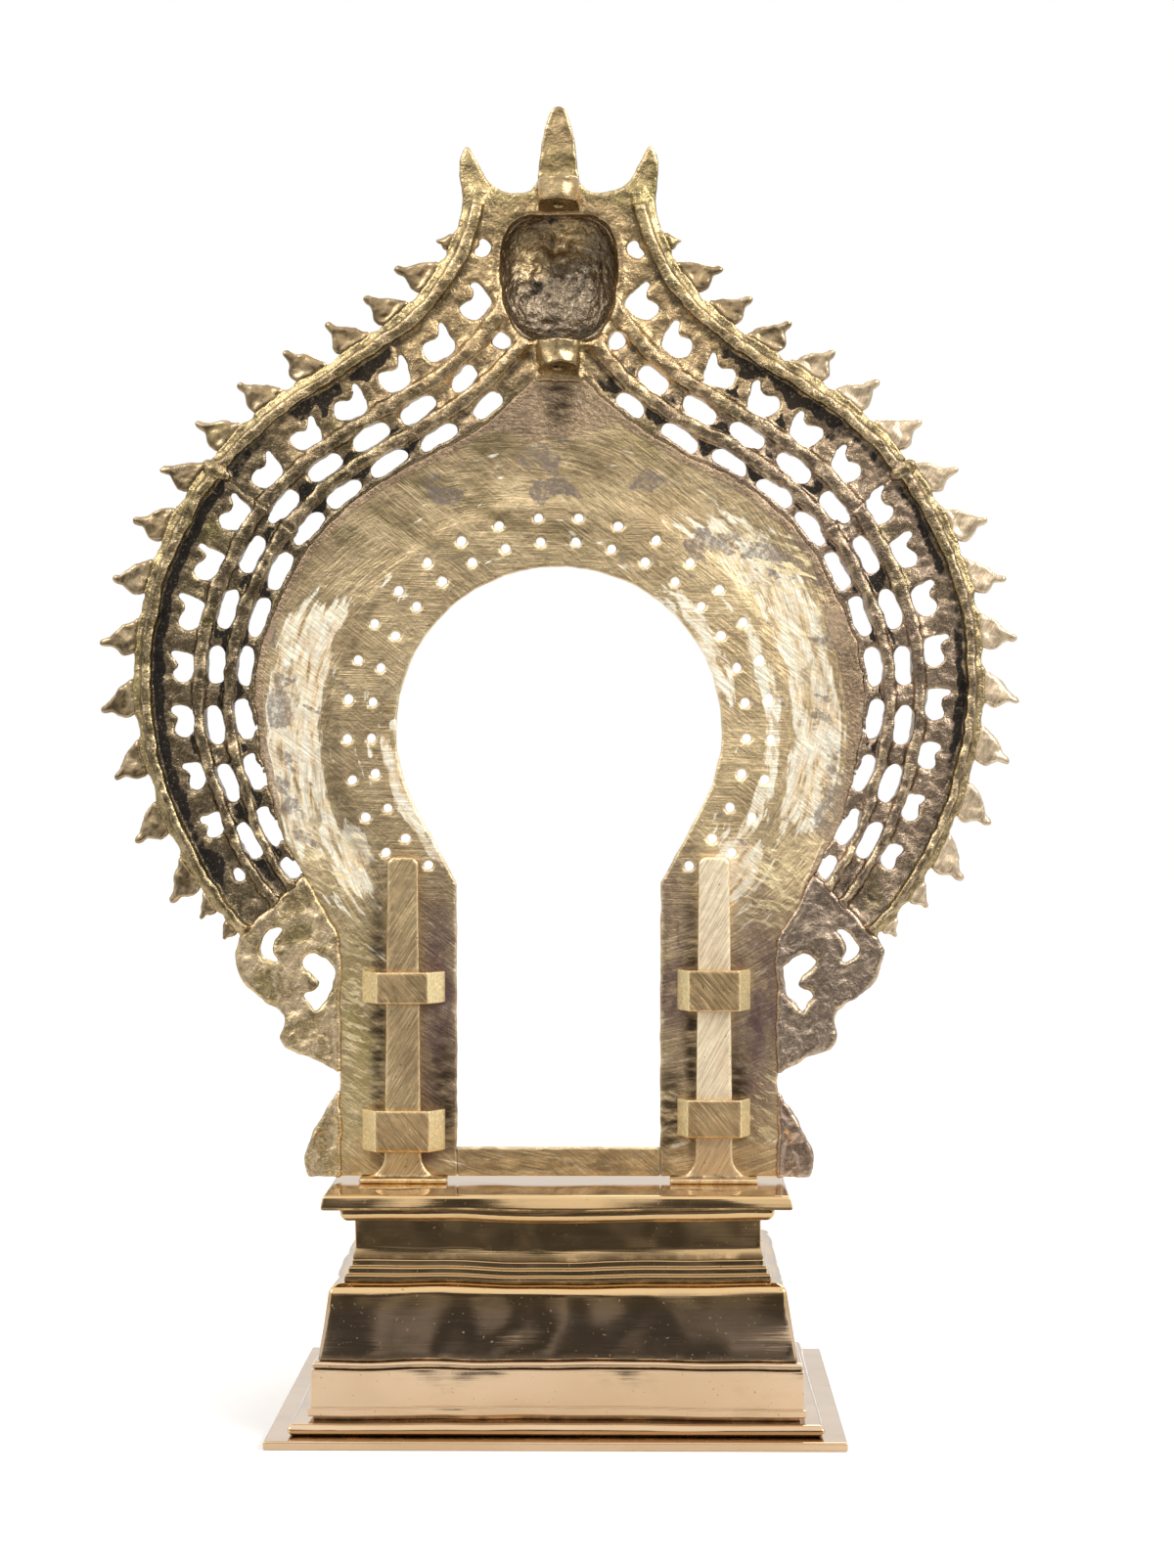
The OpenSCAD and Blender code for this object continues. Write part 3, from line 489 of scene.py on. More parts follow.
def plate_stains(plate, colour, behind):
    """Bloom, green, pits, the bites of the file and the rubbed edges, which are also a painted highlight,
    each over the last.
    """
    bloom = plate.both(plate.mark("bloom"), plate.patches(0.2, 0.62, 12, 5, (1, 1, 1.6), seed=12))
    colour = plate.coat(colour, bloom, BLOOM, behind)
    green = plate.both(plate.mark("green"), plate.patches(0.34, 0.62, 9, 5, seed=15))
    colour = plate.coat(colour, green, GREEN, 0.4)
    field = plate.lumps(9, 5, (1.4, 1, 0.8), 0.4, seed=10)
    field = plate.step(plate.add(field, plate.both(plate.mark("pitted"), 0.24)), 0.64, 0.69)
    holes = plate.level(plate.patches(0.34, 0.56, 1.8, 4, seed=11), 0.45, 1.0)
    pits = plate.both(plate.both(field, behind), holes)
    colour = plate.coat(colour, pits, PIT, 0.8)
    shreds = plate.patches(0.53, 0.57, 4.5, 5, (2.4, 1, 0.5), 0.35, seed=20)
    colour = plate.coat(colour, plate.mark("bitten"), BITE, shreds)
    # Rubbed edges: partly real wear, partly a painted highlight.
    worn_and_highlight = plate.both(plate.relief(0.46, 0.3), plate.patches(0.45, 0.6, 5, 4, seed=18))
    return plate.coat(colour, worn_and_highlight, RUBBED_AND_HIGHLIGHT, 0.4), pits


print("tones of the filed plate:", PLATE_TONES, CREAM_TONES)

# %% [markdown]
# The finish lays them down in the order in which they came about: the filed metal, with its right half
# painted lighter, and its cream patches, the lines, the stains, then the skin that the file never reached,
# and last the dark marks, which are dirt and painted shadow.

# %% Filed plate finish
def filed_plate_finish():
    plate = Finish("filed_plate_brass")
    arc = plate.round_place(KEYHOLE_Z, FILE_ARM)
    lines = file_lines(plate, arc)
    ragged = plate.lumps(6, 5, (0.5, 1, 2.6), seed=6, place=arc)
    cloud = plate.patches(0.32, 0.7, 24, 5, seed=5)
    behind = plate.step(plate.facing, 0.3, -0.3)
    colour = plate.mottle(cloud, *PLATE_TONES)
    # Painted light: the right half of the plate is shaded up to a fifth brighter, as more light fell on that
    # side.
    colour = plate.relight(colour, plate.x, 0.0, 0.07, 0.97, 1.22)
    colour, bright = bright_patches(plate, colour, ragged)
    colour = plate.relight(colour, lines, 0.3, 0.72, 0.74, 1.24)
    colour, pits = plate_stains(plate, colour, behind)
    grain = plate.lumps(1.6, 4, seed=17)
    skin = plate.mottle(cloud, *SKIN_TONES)
    skin = plate.relight(skin, grain, 0.34, 0.68, 0.74, 1.26)
    unfiled = plate.add(plate.mark("unfiled"), plate.sums("SUBTRACT", ragged, 0.5))
    coarse = plate.step(unfiled, 0.35, 0.6)
    colour = plate.paint(plate.both(coarse, 0.85), colour, skin)
    # Dark marks: dirt on the legs, and painted shadow beside the tangs, under the lower lug and along the
    # step.
    darkening = plate.both(plate.mark("darkening"), plate.patches(0.3, 0.62, 7, 5, (1.6, 1, 0.5), seed=13))
    colour = plate.coat(colour, darkening, DIRT_AND_SHADOW, behind)
    rough = plate.add(plate.level(lines, 0.28, 0.48), plate.both(pits, 0.25))
    metal = plate.both(plate.level(pits, 1.0, 0.55), plate.level(bright, 1.0, 0.5))
    file_bump = plate.bump(lines, 0.00024, plate.bump(plate.lumps(4, 3, seed=16), 0.0005))
    return plate.wear(colour, rough, metal, Normal=plate.bump(plate.both(grain, coarse), 0.0006, file_bump))


filed_plate_brass = filed_plate_finish()
print("filed plate nodes:", len(filed_plate_brass.node_tree.nodes))

# %% [markdown]
# The tangs and straps are filed bar: the left tang tan, the right one cream above its foot, the straps
# bright on their cheeks. The plate's stains don't occur here, so this finish is a shorter one: lines, worn
# edges that also carry a painted highlight, dirt and painted shade in the corners, and dark specks.

# %% Filed bar finish
CHEEK, BAR_EDGE, BAR_GRIME_AND_SHADE, BAR_SPECK = (248, 228, 174), (252, 236, 190), (70, 56, 40), (104, 84, 62)
TANG_FOOT_Z = (0.124, 0.15)


def filed_bar_finish(name, face, shade, turn, foot=None, cheek=0.0):
    """Filed bar. The foot's tone is for the lowest part, and cheek says how bright the sides are rubbed."""
    bar = Finish(name)
    lines = bar.lumps(0.6, 4, (1, 1, 22), turn)
    colour = bar.mottle(bar.patches(0.35, 0.7, 20, 4, (0.6, 1, 1.6), seed=1), face, shade)
    rubbed = bar.both(bar.step(bar.sums("ABSOLUTE", bar.across), 0.35, 0.6), cheek)
    colour = bar.coat(colour, rubbed, CHEEK)
    if foot:
        up = bar.add(bar.z, bar.both(bar.lumps(8, 4, seed=5), 0.03))
        colour = bar.paint(bar.step(up, *TANG_FOOT_Z), tone(*foot), colour)
    colour = bar.relight(colour, lines, 0.3, 0.72, 0.72, 1.2)
    # Worn edges: partly real wear, partly a painted highlight.
    worn_and_highlight = bar.both(bar.relief(0.45, 0.2), bar.patches(0.4, 0.6, 4, 4, seed=6))
    colour = bar.coat(colour, worn_and_highlight, BAR_EDGE, 0.5)
    # Dark corners: partly dirt, partly painted shade.
    grime_and_shade = bar.both(bar.relief(0.53, 0.75), bar.patches(0.3, 0.6, 6, 4, seed=4))
    colour = bar.coat(colour, grime_and_shade, BAR_GRIME_AND_SHADE, 0.8)
    colour = bar.coat(colour, bar.patches(0.66, 0.74, 2.2, 3, seed=2), BAR_SPECK, 0.6)
    metal = bar.level(rubbed, 1.0, 0.4) if cheek else 0.55 if foot else 1.0
    dents = bar.bump(bar.lumps(6, 2, seed=3), 0.0004)
    return bar.wear(colour, bar.level(lines, 0.26, 0.44), metal, Normal=bar.bump(lines, 0.0002, dents))


tan_bar_brass = filed_bar_finish("tan_bar_brass", (224, 195, 148), (198, 168, 126), turn=0.55)
pale_bar_brass = filed_bar_finish("pale_bar_brass", (255, 234, 198), (250, 224, 186), turn=0.5,
    foot=(206, 176, 134))
keeper_brass = filed_bar_finish("keeper_brass", (212, 181, 135), (188, 159, 116), turn=-0.7, cheek=0.85)
print("bar finishes:", tan_bar_brass.name, pale_bar_brass.name, keeper_brass.name)

# %% [markdown]
# ## Polished brass
# The pedestal was buffed to a mirror by hand, so its mirror is never quite flat. The colour is plain, but
# for a more golden tint on the upper courses that is a painted reflection; what makes it read as brass is
# low roughness with faint streaks from the buff and a slow ripple that bends every reflection. The ripple is
# a bump here, and a real wave in the meshes further down. Small pits where the casting was porous, and
# smudges that the cloth missed, keep the mirror from looking new.

# %% Polished finish
POLISH_TONES = (208, 181, 150), (197, 168, 133)
GOLDEN_REFLECTION_TONE, SMUDGE, SEAM, POLISH_SPECK = (205, 171, 120), (172, 149, 112), (72, 56, 36), (70, 54, 38)
UPPER_Z = (0.047, 0.057)


def polished_finish():
    polish = Finish("polished_brass")
    streak = polish.lumps(1.6, 4, (40, 6, 1), seed=1)
    colour = polish.mottle(polish.patches(0.3, 0.75, 50, 3, (2, 2, 1), seed=2), *POLISH_TONES)
    # Painted reflection: the upper courses are tinted more golden, the tint their reflections had.
    colour = polish.coat(colour, polish.step(polish.z, *UPPER_Z), GOLDEN_REFLECTION_TONE, 0.8)
    smudge = polish.patches(0.5, 0.72, 18, 5, (1.6, 1, 0.8), seed=6)
    colour = polish.coat(colour, smudge, SMUDGE, 0.25)
    seam = polish.both(polish.relief(0.53, 0.72), polish.patches(0.24, 0.6, 12, 4, seed=3))
    colour = polish.coat(colour, seam, SEAM, 0.8)
    specks = polish.patches(0.7, 0.76, 1.4, 3, seed=4)
    colour = polish.coat(colour, specks, POLISH_SPECK, 0.8)
    rough = polish.add(polish.level(streak, 0.03, 0.13), polish.both(seam, 0.3))
    rough = polish.add(rough, polish.add(polish.both(smudge, 0.12), polish.both(specks, 0.3)))
    ripple = polish.bump(polish.lumps(35, 2, (1.6, 1.6, 1), seed=5), 0.001)
    dents = polish.bump(specks, 0.0003, ripple)
    return polish.wear(colour, rough, 1.0, Normal=polish.bump(streak, 0.00003, dents))


polished_brass = polished_finish()
print("polished nodes:", len(polished_brass.node_tree.nodes))

# %% [markdown]
# ## From crisp solid to cast metal
# The solids have knife edges. Cast brass doesn't: the wax model sagged, the mould rounded every corner,
# and no two leaves match. Bevels could round the edges, but where ribs, holes and webs meet they break
# down. Melting each solid into small voxels and smoothing that skin rounds every edge alike.

# %% Casting tools
from mathutils import Matrix


def rework(mesh, work):
    """Open a mesh for editing, let the work change it and close it again."""
    skin = bmesh.new()
    skin.from_mesh(mesh)
    work(skin)
    skin.to_mesh(mesh)
    skin.free()


def solid_copy(node, name):
    """A free copy of a CAD node, welded into closed skins."""
    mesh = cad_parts[node].data.copy()
    if "custom_normal" in mesh.attributes:
        mesh.attributes.remove(mesh.attributes["custom_normal"])
    rework(mesh, lambda skin: bmesh.ops.remove_doubles(skin, verts=skin.verts, dist=1e-6))
    mesh.materials.clear()
    return add_object(name, mesh)


def add_lumps(piece, lumps):
    """Set lumps of metal on a piece: a place, three radii and a turn in the arch's plane for each."""
    skin = bmesh.new()
    skin.from_mesh(piece.data)
    for place, radii, turn in lumps:
        stand = Matrix.Translation(place) @ Matrix.Rotation(turn, 4, "Y") @ Matrix.Diagonal((*radii, 1.0))
        bmesh.ops.create_icosphere(skin, subdivisions=3, radius=1.0, matrix=stand)
    skin.to_mesh(piece.data)
    skin.free()


def apply_modifiers(piece):
    graph = bpy.context.evaluated_depsgraph_get()
    made = bpy.data.meshes.new_from_object(piece.evaluated_get(graph))
    piece.modifiers.clear()
    piece.data = made


def melt(piece, voxel):
    """Turn a piece into an even skin of small faces."""
    remesh = piece.modifiers.new("melt", "REMESH")
    remesh.mode = "VOXEL"
    remesh.voxel_size = voxel
    apply_modifiers(piece)
    return piece


print("corners of the plate's solid:", len(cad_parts["halo_plate"].data.vertices))

# %% [markdown]
# A slow drift, the same for all neighbours, makes the lines wander while the joints stay closed. The noise
# for it starts from the clock unless it gets a seed, and with a seed every run makes the same casting. The
# points of a mesh are read and written as one array, which is much faster than one by one.

# %% Points and noise
import numpy as np
from mathutils import noise

NOISE_SEED = 7
noise.seed_set(NOISE_SEED)


def points_of(mesh, field="co"):
    flat = np.empty(len(mesh.vertices) * 3, np.float32)
    mesh.vertices.foreach_get(field, flat)
    return flat.reshape(-1, 3).astype(float)


def move_points(mesh, points):
    mesh.vertices.foreach_set("co", points.astype(np.float32).ravel())
    mesh.update()


def settle(mesh, passes, share=0.5):
    """Where the points end up if each pass moves them a share of the way to their neighbours' middle."""
    soft = points_of(mesh)
    pairs = np.empty(len(mesh.edges) * 2, np.int32)
    mesh.edges.foreach_get("vertices", pairs)
    a, b = pairs.reshape(-1, 2).T
    count = len(soft)
    neighbours = np.maximum(np.bincount(a, minlength=count) + np.bincount(b, minlength=count), 1)
    for _ in range(passes):
        total = np.stack([np.bincount(a, soft[b, k], count) + np.bincount(b, soft[a, k], count)
            for k in range(3)], 1)
        soft += share * (total / neighbours[:, None] - soft)
    return soft


def drift(points, size, seed):
    """Smooth noise, one vector for each point, with lumps of about that size."""
    start = Vector((seed * 7.3, seed * 3.1, seed * 5.7))
    return np.array([noise.noise_vector(Vector(p) / size + start) for p in points])


def smoothly(value, low, high):
    t = np.clip((value - low) / (high - low), 0, 1)
    return t * t * (3 - 2 * t)


def band(value, start, full, fade, end):
    """One between full and fade, going to zero at the start and at the end."""
    return smoothly(value, start, full) * smoothly(value, end, fade)


def stain(points, x, z, wide, high):
    """One in the middle of an ellipse on the arch, in millimetres, fading to zero outside it."""
    return np.exp(-(((points[:, 0] / MM - x) / wide) ** 2 + ((points[:, 2] / MM - z) / high) ** 2) ** 1.5)


def stains(points, ellipses):
    return np.max([stain(points, *ellipse) for ellipse in ellipses], 0)


print("a drift of one point:", drift(np.zeros((1, 3)) + 0.01, 0.02, 1).round(3))

# %% [markdown]
# Dirt gathers in hollows and hands rub edges bright, and the finishes also paint shade into the hollows and
# a highlight onto the edges, so a finish has to know which is which. Blender can measure pointiness, but
# only from one edge to the next. Here each mesh is smoothed in thought: where the smooth skin would lie
# outside the real one there is a hollow, and where it would lie inside, an edge.

# %% Relief
FLAT = 0.5


def keep_value(mesh, name, values):
    layer = mesh.attributes.get(name) or mesh.attributes.new(name, "FLOAT", "POINT")
    layer.data.foreach_set("value", np.clip(values, 0, 1).astype(np.float32))


def relief_of(mesh, passes, depth):
    """Half on a flat, towards one in hollows and towards zero on edges."""
    moved = settle(mesh, passes) - points_of(mesh)
    return FLAT + np.einsum("ij,ij->i", moved, points_of(mesh, "normal")) / depth


def keep_relief(mesh, name, relief, free):
    """Keep a relief, but as if the skin were flat where it isn't free."""
    keep_value(mesh, name, FLAT + free * (relief - FLAT))


def seat(piece, node, body, finish):
    """Give a piece its finish, let it stand for its CAD node and ride on that node's body."""
    piece.data.materials.clear()
    piece.data.materials.append(finish)
    piece.data.shade_smooth()
    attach(piece, body)
    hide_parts(node)
    print(piece.name, len(piece.data.polygons), "faces")


print("a flat has the relief", FLAT)

# %% [markdown]
# Brazed joints hardly show on the real arch: the metal ran together there. Soft edges on both sides of a
# joint would leave a groove, and worn edges would draw a bright line along it. So each piece is told how far
# its points are from the rest of the arch, and close to a joint it keeps its edge, height and plain colour.

# %% Joints
from mathutils.bvhtree import BVHTree

JOINT_REACH = 0.006
JOINT_HELD, JOINT_FREE = 0.0008, 0.0032
ARCH_PIECES = ["halo_plate", "sill_bar", "crest_frame", "face_boss", "centre_finial", "upper_lug",
    "lower_lug"]
ARCH_PIECES += [side + part for side in ("left", "right")
    for part in ("_frame", "_flames", "_makara", "_foot_leaf")]


def joint_gap(node, points):
    """How far each point is from the other pieces of the arch, up to the reach of a joint."""
    corners, faces = [], []
    for other in ARCH_PIECES:
        if other != node:
            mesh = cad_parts[other].data
            faces += [[len(corners) + v for v in face.vertices] for face in mesh.polygons]
            corners += [v.co.copy() for v in mesh.vertices]
    tree = BVHTree.FromPolygons(corners, faces)
    gaps = (tree.find_nearest(Vector(p), JOINT_REACH)[3] for p in points)
    return np.array([JOINT_REACH if gap is None else gap for gap in gaps])


print("pieces brazed into the arch:", len(ARCH_PIECES))

# %% [markdown]
# ## The openwork castings
# Two side castings and the crest carry the ribs, slots and comma-shaped scroll holes. After the melt, the
# wander of the wax is added, then the grain of the mould. Both are noise, but only the grain pushes along
# the skin's own direction: the wander moves a whole rib at once.

# %% Wax and mould
FOOT_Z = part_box("halo_plate")[0].z
HORNS_Z = (0.44, 0.49)
WANDER = ((0.0007, 0.024, 1), (0.0009, 0.009, 2), (0.0005, 0.0042, 4))


def wax_wander(points):
    """How far hand-made wax strays from the drawing; the feet stay, and the horns stray less."""
    steady = smoothly(points[:, 2], FOOT_Z, FOOT_Z + 0.02)[:, None]
    steady *= 1 - 0.6 * smoothly(points[:, 2], *HORNS_Z)[:, None]
    return steady * sum(depth * drift(points, size, seed) for depth, size, seed in WANDER)


def mould_grain(mesh, depth, size, seed):
    points = points_of(mesh)
    push = drift(points, size, seed)[:, 0] + 0.6 * drift(points, size / 2.3, seed + 1)[:, 0]
    move_points(mesh, points + (depth * push)[:, None] * points_of(mesh, "normal"))


print("the wax strays by at most", round(sum(depth for depth, _, _ in WANDER) / MM, 1), "mm")

# %% [markdown]
# Soot lies in the groove just inside the raised rim ridge, most of all on the left, and on a few of the webs
# between the slots. The ridge's own points are the rearmost of each casting, so every point of the skin is
# measured from them.

# %% Rim and soot
from mathutils.kdtree import KDTree

PLATE_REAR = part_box("halo_plate")[0].y
ARCH_MIDDLE = np.array((0.0, 0.0, 0.3))
INNER_ROW = 0.027
LEFT_SOOT_Z, RIGHT_SOOT_Z = (0.17, 0.24, 0.385, 0.42), (0.24, 0.28, 0.41, 0.45)
SOOT_PATCHES = [
    (-78, 432, 14, 11), (-100, 417, 14, 11), (74, 428, 14, 12), (100, 412, 20, 16), (-121, 253, 13, 36),
    (129, 288, 8, 20), (-140, 330, 8, 12), (-146, 280, 6, 10), (-143, 225, 8, 12), (96, 383, 12, 10),
    (128, 350, 10, 12)]


def mark_rim(mesh, solid):
    """Which points are on the ledge, from just inside the ridge's top outward, and where the soot lies."""
    rows = points_of(solid)
    ridge = rows[rows[:, 1] < rows[:, 1].min() + 0.0004] * (1, 0, 1)
    tree = KDTree(len(ridge))
    for i, place in enumerate(ridge):
        tree.insert(place, i)
    tree.balance()
    points = points_of(mesh)
    flat = points * (1, 0, 1)
    near = ridge[[tree.find(place)[1] for place in flat]]
    away = np.linalg.norm(flat - near, axis=1)
    spoke = (near - ARCH_MIDDLE) / np.linalg.norm(near - ARCH_MIDDLE, axis=1)[:, None]
    outside = np.einsum("ij,ij->i", flat - near, spoke)
    # The ledge starts inside the top of the ridge, so its tone also paints a highlight onto the ridge.
    ledge = smoothly(outside, -0.0012, 0.0002)
    low = smoothly(points[:, 1], PLATE_REAR - 0.0003, PLATE_REAR + 0.0006)
    rear = low * smoothly(points_of(mesh, "normal")[:, 1], -0.1, -0.5)
    left = band(points[:, 2], *LEFT_SOOT_Z)
    right = 0.7 * band(points[:, 2], *RIGHT_SOOT_Z)
    side = np.where(points[:, 0] < 0, left, right)
    patchy = 0.8 + 0.7 * drift(points, 0.022, 11)[:, 0]
    groove = smoothly(away, 0.007, 0.0025) * side * patchy * (outside < 0.001)
    inner_row = 1.2 * smoothly(away, INNER_ROW - 0.002, INNER_ROW + 0.002) * side * patchy
    patches = 0.85 * stains(points, SOOT_PATCHES)
    return ledge, rear * np.max([groove, inner_row, patches], 0)


print("patches of soot:", len(SOOT_PATCHES))

# %% [markdown]
# Where the castings meet, the maker bridged the rim with a lump of brazing metal. The lumps go on before the
# melt, which joins them to the rim. The walls of the holes are drawn back a little, to match the photograph.

# %% Openwork
JOINTS = [(-0.1442, 0.3909), (0.1442, 0.3909)]
JOINT_LUMPS = ((0.0005, 0.0026), (0.0035, 0.0034), (0.0065, 0.003), (0.0095, 0.0022))
GRAIN_SIZE = 0.0036
HOLE_GROWTH = 0.0005
JOINT_FILL = 2.5


def joint_lumps():
    """Lumps of brazing metal across the rim at the two joints of the crest."""
    lumps = []
    for x, z in JOINTS:
        spoke = (Vector((x, 0, z)) - Vector(ARCH_MIDDLE)).normalized()
        for inward, reach in JOINT_LUMPS:
            place = Vector((x, PLATE_REAR - 0.0022, z)) - inward * spoke
            lumps.append((place, (reach, reach * 0.8, reach * 1.1), inward * 200))
    return lumps


def cast_piece(node, finish, voxel=0.0008, passes=9, grain=0.00024, swell=0.00018, openwork=False, lumps=()):
    """Melt a casting of the arch, let its wax wander, give it grain and keep its values."""
    piece = solid_copy(node, node + "_cast")
    add_lumps(piece, lumps)
    mesh = melt(piece, voxel).data
    free = smoothly(joint_gap(node, points_of(mesh)), JOINT_HELD, JOINT_FREE)
    move_points(mesh, settle(mesh, passes, share=0.5 * free[:, None]))
    if openwork:
        ledge, soot = mark_rim(mesh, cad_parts[node].data)
    points = points_of(mesh)
    wander = wax_wander(points)
    wander[:, 1] *= free
    normals = points_of(mesh, "normal")
    wall = 1 - np.abs(normals[:, 1]) if openwork else 0.0
    fill = swell * (JOINT_FILL - (JOINT_FILL - 1) * free) - (swell + HOLE_GROWTH) * free * wall
    move_points(mesh, points + wander + fill[:, None] * normals)
    mould_grain(mesh, grain, GRAIN_SIZE, seed=3)
    keep_relief(mesh, "relief", relief_of(mesh, passes=16, depth=0.0016), free)
    deep = relief_of(mesh, passes=60, depth=0.0032)
    keep_relief(mesh, "deep", deep, free)
    if openwork:
        keep_value(mesh, "ledge", ledge)
        keep_value(mesh, "soot", soot * smoothly(deep, 0.38, 0.5))
    seat(piece, node, "arch", finish)


for node in ("left_frame", "right_frame"):
    cast_piece(node, openwork_brass, openwork=True)
cast_piece("crest_frame", openwork_brass, openwork=True, lumps=joint_lumps())

# %% [markdown]
# ## Flames, makaras and foot leaves
# The rim carries a row of flame leaves. Below it, a makara, the water beast of such arches, curls round
# a beaked hole, and a leaf spreads at each foot. They are small, so they get finer voxels, which keeps their
# tips, and the same wander, which keeps their roots on the rim. They swell a little more than the rim does,
# so no light shows through the joint.

# %% Leaves
LEAF_FINISHES = {
    "left": (flame_brass, beast_brass, beast_brass),
    "right": (pale_flame_brass, dark_beast_brass, dark_leaf_brass)}
LEAF_GRAIN = 0.00026

for side, (flame_finish, beast_finish, leaf_finish) in LEAF_FINISHES.items():
    cast_piece(side + "_flames", flame_finish, voxel=0.0006, passes=4, grain=LEAF_GRAIN, swell=0.00032)
    cast_piece(side + "_makara", beast_finish, voxel=0.0007, passes=6, grain=LEAF_GRAIN, swell=0.00026)
    cast_piece(side + "_foot_leaf", leaf_finish, voxel=0.0006, passes=5, grain=LEAF_GRAIN, swell=0.00026)

# %% [markdown]
# ## The face boss
# At the crest sits a lion face, cast hollow. In front, where the photograph doesn't look, it has the brows,
# eyes, tusks and curls that such faces always have. They could be sculpted by hand, but a script can't
# repeat that. So the features are plain lumps set on the dome, each found by shooting a ray at it, and the
# melt joins them into one casting.

# %% Face front
boss_low, boss_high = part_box("face_boss")
BOSS_X = (boss_low.x + boss_high.x) / 2
BOSS_Z = (boss_low.z + boss_high.z) / 2
BOSS_VOXEL = 0.0007
WALL = 0.0026
BROW, EYEBALL, NOSTRIL = (0.0034, 0.003, 0.002), (0.0036, 0.0046, 0.0032), (0.003, 0.004, 0.0026)
JOWL, EAR, LIP = (0.005, 0.0035, 0.0042), (0.003, 0.0035, 0.006), (0.0024, 0.0032, 0.0018)
TOOTH, CURL = (0.0014, 0.003, 0.0022), (0.0036, 0.0036, 0.0036)
CURLS = 18


def face_lumps(solid):
    """The lumps of a lion face, each set on the dome so that it doesn't come through the wall."""
    skin = bmesh.new()
    skin.from_mesh(solid)
    dome = BVHTree.FromBMesh(skin)
    skin.free()
    lumps = []

    def lump(x, z, radii, turn=0.0):
        start = Vector((BOSS_X + x, boss_high.y + 0.02, BOSS_Z + z))
        hit = dome.ray_cast(start, Vector((0, -1, 0)))[0]
        depth = hit.y if hit else boss_low.y + 0.003
        out = max(radii[1] - WALL * 0.8, 0.0)
        lumps.append(((start.x, depth + out, start.z), radii, turn))

    for side in (-1, 1):
        for i in range(7):
            t = i / 6
            lump(side * (0.004 + 0.015 * t), 0.013 + 0.006 * math.sin(math.pi * t), BROW, side * 0.3)
        lump(side * 0.010, 0.007, EYEBALL)
        lump(side * 0.0045, -0.0075, NOSTRIL)
        lump(side * 0.015, -0.006, JOWL)
        lump(side * 0.021, 0.008, EAR, side * -0.4)
        for i in range(5):
            tusk = (0.0022 - 0.0003 * i, 0.0035, 0.0022)
            lump(side * (0.012 + 0.0012 * i), -0.0135 - 0.0022 * i, tusk)
    for i in range(-4, 5):
        lump(0.0034 * i, -0.0118 + 0.00008 * i * i, LIP)
    for i in range(-2, 3):
        lump(0.0034 * i, -0.0155, TOOTH)
    for i in range(CURLS):
        turn = math.radians(-60 + 300 * i / (CURLS - 1))
        lump(0.0258 * math.cos(turn), 0.0275 * math.sin(turn), CURL)
    return lumps


boss = solid_copy("face_boss", "face_boss_cast")
features = face_lumps(boss.data)
add_lumps(boss, features)
melt(boss, BOSS_VOXEL)
move_points(boss.data, settle(boss.data, passes=4))
print("lumps on the face:", len(features))

# %% [markdown]
# Behind, the boss is open: a rough bowl with the stump of the casting gate at its top. The solid is boxy
# there, so every point that looks towards the mouth moves onto a bowl. The bowl is a formula with noise on
# top, because that looks more like poured metal than a carved box does.

# %% Boss hollow
HOLLOW_HALF_W, HOLLOW_HALF_H = 0.0235, 0.026
HOLLOW_DEEP = 0.015
CHIN = 0.22
GATE, GILT = (3, 18, 8.5, 8), (-12, 10, 8, 9)
HOLLOW_SOOT = ((0, 24, 6, 4), (-4, 17, 4, 6), (-12, -1, 6, 5), (4, -20, 16, 6))


def hollow_bowl(mesh):
    """Turn the boxy inside of the boss into a lumpy bowl, and mark it for soot and for the gate's gold."""
    points = points_of(mesh)
    to_mouth = np.array((BOSS_X, boss_low.y, BOSS_Z)) - points
    to_mouth /= np.linalg.norm(to_mouth, axis=1)[:, None]
    inside = smoothly(np.einsum("ij,ij->i", points_of(mesh, "normal"), to_mouth), 0.05, 0.3)
    up = (points[:, 2] - BOSS_Z) / HOLLOW_HALF_H
    across = (points[:, 0] - BOSS_X) / (HOLLOW_HALF_W * (1 - CHIN * np.clip(-up, 0, 1) ** 2))
    reach = np.clip((np.abs(across) ** 3 + np.abs(up) ** 3) ** (1 / 3), 0, 1)
    lumpy = 0.0015 * drift(points, 0.009, 21)[:, 0] + 0.001 * drift(points, 0.0034, 22)[:, 0]
    from_middle = points - (BOSS_X, 0, BOSS_Z)
    gate = stain(from_middle, *GATE)
    gate_lumps = gate * (0.004 + 0.003 * drift(points, 0.004, 24)[:, 0])
    bowl = boss_low.y + HOLLOW_DEEP * (1 - reach ** 2.4) ** 0.75 + (lumpy - gate_lumps) * (1 - reach ** 4)
    points[:, 1] += inside * (bowl - points[:, 1])
    move_points(mesh, points)
    dark = 0.34 * stains(from_middle, HOLLOW_SOOT)
    keep_value(mesh, "soot", inside * (dark + 0.4 * drift(points, 0.009, 23)[:, 0]))
    keep_value(mesh, "ledge", inside * np.maximum(gate, stain(from_middle, *GILT)))


hollow_bowl(boss.data)
mould_grain(boss.data, 0.0002, 0.0024, seed=5)
keep_value(boss.data, "relief", relief_of(boss.data, passes=20, depth=0.002))
keep_value(boss.data, "deep", relief_of(boss.data, passes=40, depth=0.009))
seat(boss, "face_boss", "arch", hollow_brass)

# %% [markdown]
# A blade stands between the horns of the crest, and the half-round lugs above and below the boss are bored
# for a stem. They are cast like the rest but cleaner, and finer voxels keep their bores round.

# %% Finial and lugs
cast_piece("centre_finial", horn_brass, voxel=0.0006, passes=3, grain=0.00016, swell=0.00016)
for node in ("upper_lug", "lower_lug"):
    cast_piece(node, lug_brass, voxel=0.0004, passes=3, grain=0.0001, swell=0.00012)

